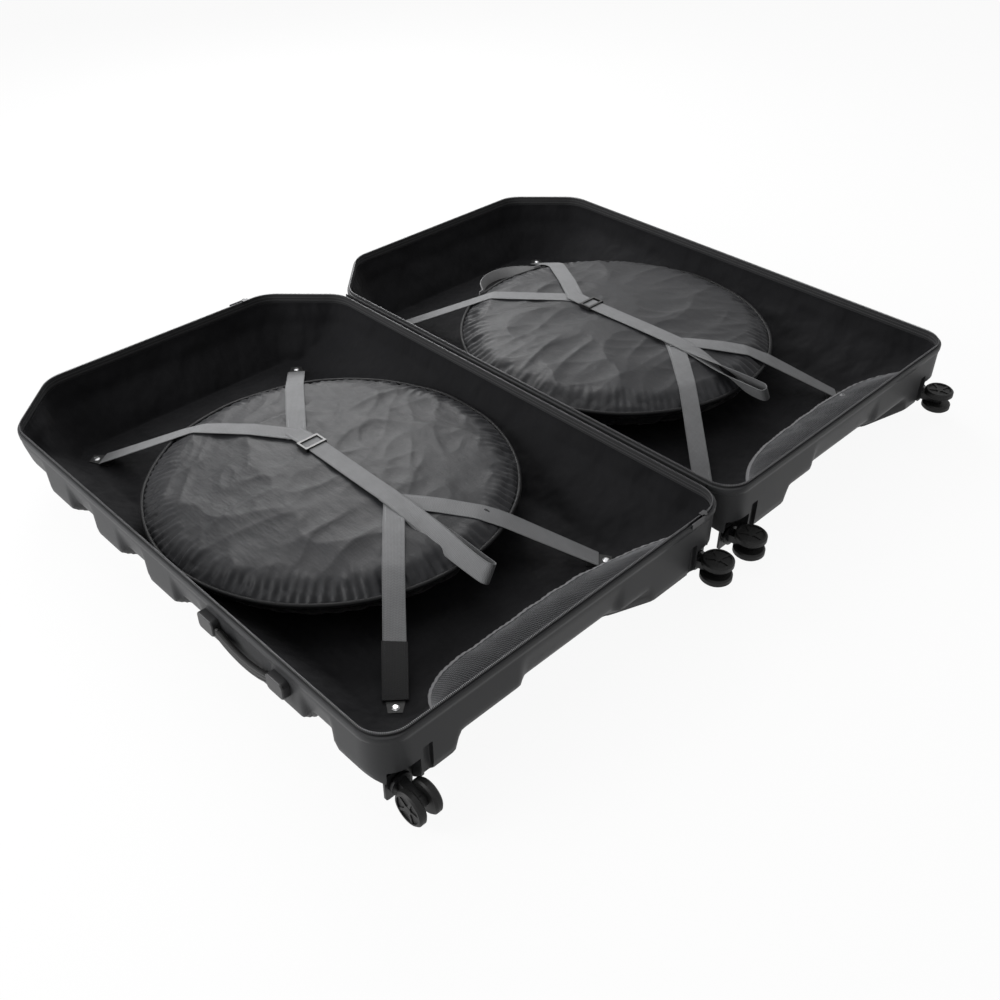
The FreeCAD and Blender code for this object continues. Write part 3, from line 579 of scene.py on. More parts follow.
def extruded(name: str, rings: Sequence[Sequence[Vector]], closed: bool = False) -> tuple[Piece, list[list[int]]]:
    """Models a piece by extruding a ring of points from station to station.

    Args:
        name: the piece's name.
        rings: the ring's points at each station.
        closed: whether the last station joins the first; otherwise both ends are filled.

    Returns:
        The piece, and the numbers of its points, station by station.
    """
    piece = added(name, bpy.ops.mesh.primitive_circle_add, vertices=len(rings[0]), fill_type="NOTHING")
    for vert, place in zip(piece.data.vertices, rings[0]):
        vert.co = place
    edit(piece)
    numbers = [list(range(len(rings[0])))]
    for places in rings[1:]:
        numbers.append(drawn_out(piece, numbers[-1], places))
    if closed:
        select_border()
        bpy.ops.mesh.bridge_edge_loops()
    else:
        bpy.ops.mesh.select_all(action="SELECT")
        bpy.ops.mesh.fill_holes(sides=0)
    close_edit()
    return piece, numbers


def note(piece: Piece, name: str, values: dict[int, float]) -> None:
    """Keeps a number on each of a piece's points for its material."""
    kept = piece.data.attributes.new(name, "FLOAT", "POINT")
    for index, value in values.items():
        kept.data[index].value = value


@dataclass
class Station:
    """One place along a strap: its middle, its sideways and its upward direction."""

    middle: Vector
    side: Vector
    up: Vector


def run_length(stations: Sequence[Station], closed: bool = False) -> float:
    """Length of a strap along its middle."""
    after = stations[1:] + stations[:1] if closed else stations[1:]
    return sum((b.middle - a.middle).length for a, b in zip(stations, after))


def ribbon(name: str, stations: Sequence[Station], width: float, thickness: float,
           sewn: Sequence[tuple[float, float]] = (), closed: bool = False) -> Piece:
    """Models a flat woven strap.

    Args:
        name: the piece's name.
        stations: the places that it runs through.
        width: its width.
        thickness: its thickness.
        sewn: stretches with stitching, from and to, in metres along it.
        closed: whether it is an endless band.

    Returns:
        The strap, with its lengths kept on its points.
    """
    fade = 2 * MM
    upper = list(zip((-0.5, -0.49, -0.44, -0.2, 0.2, 0.44, 0.49, 0.5), (0.35, 0.8, 1.0, 1.0, 1.0, 1.0, 0.8, 0.35)))
    section = [(w, t / 2) for w, t in upper] + [(w, -t / 2) for w, t in reversed(upper)]
    rings = [[s.middle + s.side * (w * width) + s.up * (t * thickness) for w, t in section] for s in stations]
    piece, numbers = extruded(name, rings, closed)
    along, across, stitched, length = {}, {}, {}, 0.0
    for i, ring in enumerate(numbers):
        length += (stations[i].middle - stations[i - 1].middle).length if i else 0.0
        inside = [smooth(length, a, a + fade) * (1 - smooth(length, b - fade, b)) for a, b in sewn]
        for index, (w, _) in zip(ring, section):
            along[index], across[index], stitched[index] = length, w * width, max(inside, default=0.0)
    note(piece, "along", along)
    note(piece, "across", across)
    note(piece, "sewn", stitched)
    return piece


def taut(points: Sequence[tuple[float, float]]) -> list[float]:
    """Heights of a line pulled tight over points given as (run, height)."""
    hull: list[tuple[float, float]] = []
    for run, height in points:
        while len(hull) > 1:
            (x0, z0), (x1, z1) = hull[-2], hull[-1]
            if (z1 - z0) * (run - x0) > (height - z0) * (x1 - x0):
                break
            hull.pop()
        hull.append((run, height))
    heights, at = [], 0
    for run, _ in points:
        while at < len(hull) - 2 and hull[at + 1][0] < run:
            at += 1
        (x0, z0), (x1, z1) = hull[at], hull[at + 1]
        heights.append(z0 + (z1 - z0) * (run - x0) / (x1 - x0))
    return heights


def rolled(angle: float) -> tuple[Vector, Vector]:
    """Sideways and upward directions of a strap along X that is rolled by an angle."""
    return Vector((0, math.cos(angle), -math.sin(angle))), Vector((0, math.sin(angle), math.cos(angle)))


@dataclass
class Rim:
    """The outline of one half at the hinge side +Y, read from its shell's box, in metres."""

    lip: float = 1.5 * MM
    chamfer: float = 125 * MM
    back_radius: float = 70 * MM
    floor_radius: float = 30 * MM
    front_radius: float = 50 * MM
    draft: float = 9 * MM
    skirt: float = 105 * MM
    back_skirt: float = 65 * MM
    corner_skirt: float = 55 * MM

    def __post_init__(self) -> None:
        """Reads the shell's box."""
        low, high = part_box("lid_shell")
        self.back, self.front = low.x + self.lip, high.x - self.lip
        self.near, self.far = low.y + self.lip, high.y - self.lip
        self.top = high.z
        self.middle_y = (self.near + self.far) / 2

    def insets(self, inset: float) -> tuple[float, float, float]:
        """Insets of the sides, the back and the cut corners where the sides have this one."""
        over = max(inset - self.draft, 0.0) / (self.skirt - self.draft)
        level = min(inset, self.draft)
        return inset, level + over * (self.back_skirt - self.draft), level + over * (self.corner_skirt - self.draft)

    def side_point(self, run: str, share: float, inset: float) -> tuple[float, float]:
        """A point of the outline's far side.

        Args:
            run: the stretch: front_arc, side, cut_arc, cut or back_arc.
            share: how far along the stretch, from 0 to 1.
            inset: how far the outline is moved inwards.

        Returns:
            Its x and y.
        """
        side, back, corner = self.insets(inset)
        depth = min(max(inset, 0.0) / self.skirt, 1.0)
        radius = self.back_radius + (self.floor_radius - self.back_radius) * depth
        cut = self.chamfer + corner * math.sqrt(2)
        reach = radius * math.tan(math.radians(22.5))
        slant = reach / math.sqrt(2)
        front_x, far_y = self.front - side, self.far - side
        cut_x, back_x, cut_y = self.back + cut - side, self.back + back, self.far - cut + back
        start_x = front_x - self.front_radius
        if run == "front_arc":
            turn = math.radians(90 * share)
            return (start_x + self.front_radius * math.cos(turn),
                    far_y - self.front_radius + self.front_radius * math.sin(turn))
        if run == "side":
            return start_x + (cut_x + reach - start_x) * share, far_y
        if run == "cut_arc":
            turn = math.radians(90 + 45 * share)
            return cut_x + reach + radius * math.cos(turn), far_y - radius + radius * math.sin(turn)
        if run == "cut":
            return mixed((cut_x - slant, far_y - slant), (back_x + slant, cut_y + slant), share)
        turn = math.radians(135 + 45 * share)
        return back_x + radius + radius * math.cos(turn), cut_y - reach + radius * math.sin(turn)


@dataclass
class Tray:
    """A dished sheet on the rim's outline: a floor grid whose edge is extruded up to the rim."""

    rim: Rim
    columns: int
    side_steps: int
    levels: int
    surface: Callable[[str, float, float, float, float], tuple[float, float]]
    floor: Callable[[float, float], float]

    def __post_init__(self) -> None:
        """Sets the stations along the far side from the front line to the back line."""
        runs = (("front_arc", 10), ("side", self.side_steps), ("cut_arc", 5), ("cut", 9), ("back_arc", 5))
        self.path = [("front_arc", 0.0)] + [(run, (i + 1) / count) for run, count in runs for i in range(count)]
        self.last_row = len(self.path) - 1

    def edge_point(self, row: int, column: int, level: float) -> Vector:
        """A point of the tray's wall.

        Args:
            row: station along the sides.
            column: place across, from near to far.
            level: 0 at the floor's edge and 1 at the rim.

        Returns:
            Its place in the half at the +Y side of the hinge.
        """
        run, share = self.path[row]
        middle, lean = self.rim.middle_y, 2 * column / self.columns - 1
        x, far_y = self.rim.side_point(run, share, 0.0)
        y, height = middle + (far_y - middle) * lean, 0.0
        for _ in range(4 if run == "side" else 1):
            inset, height = self.surface(run, share, x, y, level)
            x, far_y = self.rim.side_point(run, share, inset)
        return Vector((x, middle + (far_y - middle) * lean, height))

    def border(self) -> list[tuple[int, int]]:
        """Rows and columns of the floor grid's edge, in order round it."""
        rows, columns = self.last_row, self.columns
        loop = [(0, c) for c in range(columns)] + [(r, columns) for r in range(rows)]
        return loop + [(rows, c) for c in range(columns, 0, -1)] + [(r, 0) for r in range(rows, 0, -1)]

    def build(self, name: str) -> Piece:
        """Models the sheet as an open surface of the lid half."""
        ends = [[self.edge_point(row, column, 0.0) for column in (0, self.columns)] for row in range(self.last_row + 1)]

        def place(row: int, column: int) -> Vector:
            """A point of the floor, whose first and last rows are the foot of the wall."""
            if row in (0, self.last_row):
                return self.edge_point(row, column, 0.0)
            point = ends[row][0].lerp(ends[row][1], column / self.columns)
            if 0 < column < self.columns:
                point.z = self.floor(point.x, point.y)
            return point

        piece = gridded(name, self.columns, self.last_row, place)
        border = self.border()
        ring = [row * (self.columns + 1) + column for row, column in border]
        edit(piece, border=True)
        for step in range(1, self.levels + 1):
            ring = drawn_out(piece, ring, [self.edge_point(*spot, step / self.levels) for spot in border])
        close_edit()
        return piece


def mirrored(piece: Piece, half: Half) -> Piece:
    """Moves a piece made for the lid to its half; the base's is a mirror image."""
    if half is Half.BASE:
        for vert in piece.data.vertices:
            vert.co.y = -vert.co.y
        piece.data.flip_normals()
    return piece


def joined(pieces: Sequence[Piece]) -> Piece:
    """Joins pieces into the first of them."""
    only(pieces[0])
    for piece in pieces[1:]:
        piece.select_set(True)
    bpy.ops.object.join()
    return pieces[0]


def mixed(a: Sequence[float], b: Sequence[float], share: float) -> tuple[float, ...]:
    """A point between two."""
    return tuple(p + (q - p) * share for p, q in zip(a, b))


def along_points(points: Sequence[tuple[float, float, float]], level: float) -> tuple[float, ...]:
    """Inset and height at a level of a section given as (level, inset, height) points."""
    for start, end in zip(points, points[1:]):
        if level <= end[0] + 1e-9:
            return mixed(start[1:], end[1:], (level - start[0]) / (end[0] - start[0]))
    return points[-1][1:]


@dataclass
class Scoop:
    """Hand room pressed into the base's outer wall behind the carry handle."""

    half: Half
    reach: float = 74 * MM
    low: float = 88 * MM
    high: float = 150 * MM
    depth: float = 7 * MM
    margin: float = 1 * MM
    flank: float = 22 * MM

    def __post_init__(self) -> None:
        """Reads the middle of the handle."""
        low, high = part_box("handle_grip")
        self.middle = (low.x + high.x) / 2

    def panel(self, x: float, side: bool) -> float:
        """1 where the wall runs deeper behind the handle."""
        if self.half is Half.LID or not side:
            return 0.0
        begin = self.reach + self.margin
        return 1 - smooth(abs(x - self.middle), begin, begin + self.flank)

    def inset(self, x: float, z: float, side: bool) -> float:
        """How deep the wall is pressed in at a place."""
        off = abs(x - self.middle) / self.reach
        if self.half is Half.LID or not side or off >= 1:
            return 0.0
        floor = self.high - (self.high - self.low) * (1 - off * off)
        below_top = 1 - smooth(z, self.high - 6 * MM, self.high)
        return self.depth * smooth(z, floor - 4 * MM, floor + 8 * MM) * below_top


@dataclass
class Shell:
    """Formed shell of one half: lip, band, drafted wall, ribbed skirt and face, caster recesses."""

    half: Half
    rim: Rim
    wall: float = 2.5 * MM
    lip_height: float = 12 * MM
    band: float = 22 * MM
    skirt_top: float = 66 * MM
    edge_inset: float = 0.2 * MM
    rib_height: float = 20 * MM
    rib_crest: float = 41 * MM
    rib_flank: float = 9 * MM
    rib_pitch: float = 172.5 * MM
    rib_count: int = 5
    rib_setback: float = 225 * MM
    end_panel: float = 110 * MM
    end_flank: float = 6 * MM
    end_drop: float = 14 * MM
    panel_drop: float = 8 * MM
    block_length: float = 108 * MM
    block_width: float = 134 * MM
    hinge_block: float = 186 * MM
    block_flank: float = 9 * MM
    block_wall: float = 115 * MM
    seat_setback: float = 25 * MM
    seat_slack: float = 0.6 * MM
    seat_reach: float = 0.4 * MM
    recess_height: float = 91 * MM
    recess_round: float = 2.5 * MM
    slot_away: float = 14 * MM
    slot_half: float = 9 * MM
    slot_depth: float = 9 * MM
    slot_rise: float = 18 * MM
    beyond: float = 20 * MM
    columns: int = 104
    side_steps: int = 200
    levels: int = 24
    inner_levels: int = 6

    def __post_init__(self) -> None:
        """Places the ribs and the wall's sections."""
        rim, foot = self.rim, (self.rim.skirt, self.rib_height)
        self.ribs = [rim.front - self.rib_setback - self.rib_pitch * i for i in range(self.rib_count)]
        self.scoop = Scoop(self.half)
        edge, block_edge = rim.top - self.skirt_top, rim.top - self.block_wall
        slope = (edge - self.rib_height) / (rim.skirt - rim.draft)
        self.groove = self.section((rim.draft, edge), foot)
        self.rib = self.section((self.edge_inset, edge - self.rib_height), (rim.skirt, 0.0))
        self.block = self.section((self.edge_inset, block_edge), (block_edge / slope, 0.0))
        self.end_wall = self.section((self.edge_inset, edge - self.end_drop), (rim.skirt, 0.0))
        self.end_middle = self.section((self.panel_drop, edge - self.panel_drop), foot)
        self.inner = [(0.0, rim.skirt + self.wall, self.rib_height + self.wall), (0.5, rim.draft + self.wall, edge),
                      (0.75, self.wall, rim.top - self.band), (1.0, self.wall, rim.top)]

    def section(self, edge: tuple[float, float], foot: tuple[float, float]) -> list[tuple[float, float, float]]:
        """Section of the wall from its foot on the face, over the edge of the skirt, to the rim."""
        top, lip = self.rim.top, self.rim.lip
        under_lip = top - self.lip_height
        return [(0.0, *foot), (0.46, *edge), (0.71, 0.0, top - self.band), (0.79, 0.0, under_lip - 1.5 * MM),
                (0.84, -lip, under_lip + 0.5 * MM), (0.92, -lip, top - 2 * MM), (0.96, -lip * 0.7, top - 0.6 * MM),
                (1.0, -lip * 0.1, top)]

    def rib_share(self, x: float) -> float:
        """1 on the crest of a rib across and 0 between the ribs."""
        off = min(abs(x - at) for at in self.ribs) - self.rib_crest
        return 1 - min(max(off / self.rib_flank, 0.0), 1.0)

    def end_share(self, y: float) -> float:
        """1 beside the middle panel of the caster end and 0 on it."""
        return smooth(abs(y - self.rim.middle_y), self.end_panel - self.end_flank, self.end_panel + self.end_flank)

    def block_along(self, x: float) -> float:
        """1 at the corner blocks, measured along the case."""
        begin = self.rim.front - self.block_length - self.rib_flank
        return smooth(x, begin, begin + self.rib_flank)

    def block_across(self, y: float) -> float:
        """1 at the corner blocks, measured across the case."""
        off = y - self.rim.middle_y
        edge = (self.rim.far - self.rim.near) / 2 - (self.block_width if off > 0 else self.hinge_block)
        return smooth(abs(off), edge - self.block_flank, edge)

    def face(self, x: float, y: float) -> float:
        """Height of the big face above the floor."""
        end = self.end_share(y) if x > self.ribs[0] else 0.0
        low = (1 - self.rib_share(x)) * (1 - end) * (1 - self.block_along(x) * self.block_across(y))
        return self.rib_height * low

    def surface(self, run: str, share: float, x: float, y: float, level: float) -> tuple[float, ...]:
        """Inset and height of the outer wall at a station of the outline."""
        groove, rib, block = (along_points(p, level) for p in (self.groove, self.rib, self.block))
        outer = y > self.rim.middle_y
        if run == "side":
            low = (1 - self.rib_share(x)) * (1 - self.block_along(x)) * (1 - self.scoop.panel(x, outer))
            inset, height = mixed(groove, rib, 1 - low)
            return inset + self.scoop.inset(x, height, outer), height
        if run != "front_arc":
            return groove
        if share > 0:
            return mixed(block, rib, smooth(share, 0, 1))
        low, high = (along_points(p, level) for p in (self.end_middle, self.end_wall))
        return mixed(mixed(low, high, self.end_share(y)), block, self.block_across(y))

    def inner_surface(self, run: str, share: float, x: float, y: float, level: float) -> tuple[float, float]:
        """Inset and height of the inner wall at a station of the outline."""
        inset, height = along_points(self.inner, level)
        press = self.scoop.inset(x, height, y > self.rim.middle_y) if run == "side" else 0.0
        return inset + press, height

    def recesses(self) -> list[tuple[Vector, Vector]]:
        """Corners of the boxes that are cut out round the casters, and of the slots beside them."""
        found = []
        back, front = self.rim.front - self.seat_setback, self.rim.front + self.beyond
        for corner, inward in (("hinge", 1), ("outer", -1)):
            low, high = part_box("lid_" + corner + "_caster_seat")
            y0, y1 = low.y - self.seat_slack, high.y + self.seat_slack
            y0, y1 = (y0, y1 + self.seat_reach) if inward > 0 else (y0 - self.seat_reach, y1)
            found.append((Vector((back, y0, -self.beyond)), Vector((front, y1, self.recess_height))))
            slot = y1 + self.slot_away if inward > 0 else y0 - self.slot_away
            found.append((Vector((self.rim.front - self.slot_depth, slot - self.slot_half, -self.beyond)),
                          Vector((front, slot + self.slot_half, self.recess_height + self.slot_rise))))
        return found

    def cut(self, piece: Piece) -> None:
        """Cuts the recesses with soft-edged boxes."""
        for low, high in self.recesses():
            tool = added("recess_tool", bpy.ops.mesh.primitive_cube_add, size=1)
            for vert in tool.data.vertices:
                vert.co = Vector(h if c > 0 else l for l, h, c in zip(low, high, vert.co))
            apply_modifier(tool, "BEVEL", width=self.recess_round, segments=3)
            apply_modifier(piece, "BOOLEAN", operation="DIFFERENCE", solver="EXACT", object=tool)
            bpy.data.objects.remove(tool)

    def build(self, material: Material) -> None:
        """Models and dresses the shell."""
        outer = Tray(self.rim, self.columns, self.side_steps, self.levels, self.surface, self.face)
        outer = outer.build(self.half.node("formed_shell"))
        group = outer.vertex_groups.new(name="formed")
        limit = self.rim.top - self.band
        group.add([v.index for v in outer.data.vertices if v.co.z < limit], 1.0, "REPLACE")
        apply_modifier(outer, "SMOOTH", factor=0.5, iterations=2, vertex_group="formed")
        outer.vertex_groups.clear()
        inner = Tray(self.rim, self.columns, self.side_steps, self.inner_levels, self.inner_surface,
                     lambda x, y: self.rib_height + self.wall).build("inner")
        inner.data.flip_normals()
        piece = joined([outer, inner])
        edit(piece, border=True)
        bpy.ops.mesh.bridge_edge_loops()
        close_edit()
        self.cut(piece)
        mirrored(piece, self.half)
        finish_piece(piece, material, self.half.body, [self.half.node("shell")])


@dataclass
class Lining:
    """Cloth lining of one half, creased where it goes round the corners."""

    half: Half
    rim: Rim
    inset: float = 3.4 * MM
    thickness: float = 1.0 * MM
    seam: float = 14 * MM
    band: float = 22 * MM
    skirt_top: float = 66 * MM
    floor_height: float = 23.4 * MM
    crease: float = 8.0 * MM
    tight: float = 50 * MM
    broad: float = 160 * MM
    fine: float = 55 * MM
    wall_cloth: float = 90 * MM

    def __post_init__(self) -> None:
        """Makes the wall's section."""
        top = self.rim.top
        self.scoop = Scoop(self.half)
        self.wall = [(0.0, self.rim.skirt + self.inset, self.floor_height),
                     (0.6, self.rim.draft + self.inset, top - self.skirt_top + 2 * MM),
                     (0.93, self.inset, top - self.band), (1.0, self.inset, top - self.seam)]

    def surface(self, run: str, share: float, x: float, y: float, level: float) -> tuple[float, float]:
        """Inset and height of the lining at a station of the outline."""
        inset, height = along_points(self.wall, level)
        press = self.scoop.inset(x, height, y > self.rim.middle_y) if run == "side" else 0.0
        return inset + press, height

    def crumple(self, piece: Piece) -> None:
        """Pushes soft creases into the cloth, inwards only, and least along the seam."""
        normals = [v.normal.copy() for v in piece.data.vertices]
        for vert, normal in zip(piece.data.vertices, normals):
            place = vert.co.copy()
            loose = 1 - smooth(place.z, self.rim.top - self.tight, self.rim.top - self.seam)
            on_wall = smooth(place.z, self.floor_height + 1 * MM, self.floor_height + 20 * MM)
            stretched = Vector((place.x, place.y, place.z * 0.6))
            broad = folds(stretched, self.broad, self.half.value * 3.1)
            fine = folds(stretched, self.fine, 4.2 + self.half.value)
            vert.co += normal * (broad * 0.65 + fine * 0.35) * self.crease * loose * (0.35 + 0.65 * on_wall)

    def build(self, material: Material) -> Piece:
        """Models and dresses the lining."""
        tray = Tray(self.rim, 70, 104, 14, self.surface, lambda x, y: self.floor_height)
        piece = tray.build(self.half.node("cloth_lining"))
        piece.data.flip_normals()
        mirrored(piece, self.half)
        apply_modifier(piece, "SMOOTH", factor=0.5, iterations=5)
        self.crumple(piece)
        apply_modifier(piece, "SUBSURF", levels=1, render_levels=1)
        apply_modifier(piece, "SOLIDIFY", thickness=self.thickness, offset=-1.0)
        finish_piece(piece, material, self.half.body, [self.half.node("lining")], 180)
        self.half.node("formed_shell")
        return piece


@dataclass
class WheelBag:
    """Padded round bag of one half, blown up and creased by a cloth simulation, with its piping."""

    half: Half
    shift: tuple[float, float] = (7 * MM, 6 * MM)
    voxel: float = 7 * MM
    cap: float = 16 * MM
    roof: float = 141 * MM
    edge_height: float = 101 * MM
    shrink: float = -0.055
    frames: int = 20
    gathers: int = 118
    gather: float = 2.3 * MM
    crumple: float = 6.0 * MM

    def __post_init__(self) -> None:
        """Reads the bag's box."""
        low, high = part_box("lid_wheel_bag")
        self.middle = Vector(((low.x + high.x) / 2, (low.y + high.y) / 2, 0)) + Vector((*self.shift, 0))
        self.radius = (high.x - low.x) / 2
        self.foot = low.z

    def outline(self) -> list[tuple[float, float]]:
        """Section of the slack bag from the middle of its top to the middle of its foot."""
        r, edge, foot = self.radius, self.edge_height, self.foot
        rise = self.roof - edge - 9 * MM
        shares = (0.0, 0.2, 0.4, 0.6, 0.75, 0.86, 0.93, 0.97)
        upper = [(r * share, edge + 5 * MM + rise * (1 - share ** 3.2)) for share in shares]
        seam = [(r + 3 * MM, edge + 2 * MM), (r + 3 * MM, edge - 2 * MM)]
        lower = [(r * 0.982, edge - 9 * MM), (r * 0.95, edge - 24 * MM), (r * 0.88, edge - 44 * MM),
                 (r * 0.78, foot + 12 * MM), (r * 0.66, foot + 2 * MM), (r * 0.4, foot + 0.6 * MM),
                 (0.0, foot + 0.6 * MM)]
        return upper + seam + lower

    def blank(self) -> Piece:
        """The slack bag: a ball whose rings are moved to the bag's section."""
        points = self.outline()
        rings = len(points) - 1
        piece = added(self.half.node("padded_bag"), bpy.ops.mesh.primitive_uv_sphere_add,
                      segments=72, ring_count=rings, radius=1)
        for vert in piece.data.vertices:
            level = round(math.acos(max(-1, min(1, vert.co.z))) / math.pi * rings)
            out, height = points[level]
            turn = math.atan2(vert.co.y, vert.co.x)
            vert.co = self.middle + Vector((out * math.cos(turn), out * math.sin(turn), height))
        apply_modifier(piece, "SUBSURF", levels=1, render_levels=1)
        apply_modifier(piece, "REMESH", mode="VOXEL", voxel_size=self.voxel)
        return piece

    def hold_seam(self, piece: Piece, group: str) -> None:
        """Puts the points at the seam and on the floor in a group that the cloth holds still."""
        held = piece.vertex_groups.new(name=group)
        for vert in piece.data.vertices:
            out = (Vector((vert.co.x, vert.co.y, 0)) - self.middle).length
            at_seam = out > self.radius - 9 * MM and abs(vert.co.z - self.edge_height) < 10 * MM
            if at_seam or vert.co.z < self.foot + 6 * MM:
                held.add([vert.index], 1.0, "REPLACE")

    def blow_up(self, piece: Piece) -> None:
        """Runs the cloth under pressure with its seam held, and keeps each point's move within the cap."""
        start = [v.co.copy() for v in piece.data.vertices]
        self.hold_seam(piece, "seam")
        only(piece)
        bpy.ops.object.modifier_add(type="CLOTH")
        cloth = piece.modifiers[-1]
        settings = {"quality": 6, "mass": 0.15, "tension_stiffness": 12, "compression_stiffness": 12,
                    "shear_stiffness": 4, "bending_stiffness": 0.12, "use_pressure": True, "uniform_pressure_force": 4,
                    "shrink_min": self.shrink, "shrink_max": self.shrink, "vertex_group_mass": "seam"}
        for key, value in settings.items():
            setattr(cloth.settings, key, value)
        cloth.settings.effector_weights.gravity = 0
        cloth.collision_settings.use_collision = False
        for number in range(1, self.frames + 1):
            bpy.context.scene.frame_set(number)
        bpy.ops.object.modifier_apply(modifier=cloth.name)
        bpy.context.scene.frame_set(1)
        piece.vertex_groups.clear()
        for vert, before in zip(piece.data.vertices, start):
            move = vert.co - before
            if move.length > self.cap:
                vert.co = before + move * (self.cap / move.length)
        highest = max(v.co.z for v in piece.data.vertices)
        lower = min(1.0, (self.roof - 1.5 * MM - self.edge_height) / (highest - self.edge_height))
        for vert in piece.data.vertices:
            above = vert.co.z - self.edge_height
            vert.co.z = max(self.edge_height + above * (lower if above > 0 else 1.0), self.foot)

    def crease(self, piece: Piece) -> None:
        """Adds gathers along the seam and broad creases between them."""
        seed = 5.3 if self.half is Half.LID else 11.9
        aside = Vector((0, 0, seed))
        normals = [v.normal.copy() for v in piece.data.vertices]
        for vert, normal in zip(piece.data.vertices, normals):
            if normal.z < -0.2 or vert.co.z < self.foot + 15 * MM:
                continue
            flat = Vector((vert.co.x, vert.co.y, 0)) - self.middle
            out, turn = flat.length, math.atan2(flat.y, flat.x)
            around = Vector((math.cos(turn), math.sin(turn), 0))
            length = 62 * MM + 34 * MM * noise.noise(around * 7 + aside)
            near_seam = smooth(out, self.radius - length, self.radius - 12 * MM)
            edge = near_seam * (1 - smooth(out, self.radius - 5 * MM, self.radius + 2 * MM))
            patchy = 0.35 + 0.65 * smooth(noise.noise(around * 2.1 + aside), -0.25, 0.3)
            wander = noise.noise(around * 4 + Vector((0, 0, seed + out * 9)))
            ripple = math.sin(turn * self.gathers + 6 * wander) * self.gather
            slanted = Vector((flat.x * 0.55 + flat.y * 0.85, flat.y * 0.35 - flat.x * 0.9, 0))
            broad = folds(slanted, 0.17, seed) + folds(Vector((flat.x * 1.4, flat.y * 0.5, 0)), 0.09, seed + 3) * 0.5
            broad += folds(Vector((flat.x * 0.8 - flat.y * 0.6, flat.y * 0.5, 0)), 0.048, seed + 7) * 0.35
            vert.co += normal * (ripple * edge * patchy + (broad - 0.9) * self.crumple * (1 - edge))
            vert.co.z = min(max(vert.co.z, self.foot), self.roof)

    def build(self, cloth: Material, piping: Material) -> list[Piece]:
        """Models and dresses the bag and its piping, and returns what the straps lie on."""
        piece = self.blank()
        self.blow_up(piece)
        apply_modifier(piece, "SUBSURF", levels=1, render_levels=1)
        apply_modifier(piece, "SMOOTH", factor=0.4, iterations=1)
        self.crease(piece)
        mirrored(piece, self.half)
        finish_piece(piece, cloth, self.half.body, [self.half.node("wheel_bag")], 180)
        upper = self.trim("bag_piping", self.radius + 1 * MM, self.edge_height + 1 * MM, 4.2 * MM, 220, piping)
        self.trim("bag_seam_cord", self.radius - 11 * MM, self.edge_height - 16 * MM, 2.6 * MM, 160, piping)
        return [piece, upper]

    def trim(self, name: str, radius: float, height: float, thick: float, steps: int, material: Material) -> Piece:
        """Models a sewn-in cord round the bag, wavy as the seam that it follows."""
        piece = added(self.half.node(name), bpy.ops.mesh.primitive_torus_add, major_segments=steps, minor_segments=8,
                      major_radius=radius, minor_radius=thick)
        for vert in piece.data.vertices:
            turn = math.atan2(vert.co.y, vert.co.x)
            wave = noise.noise(Vector((math.cos(turn) * 3, math.sin(turn) * 3, 2.2)))
            wider = 1 + wave * 0.006
            vert.co = self.middle + Vector((vert.co.x * wider, vert.co.y * wider, vert.co.z + height + wave * 3 * MM))
        mirrored(piece, self.half)
        return finish_piece(piece, material, self.half.body, (), 180)


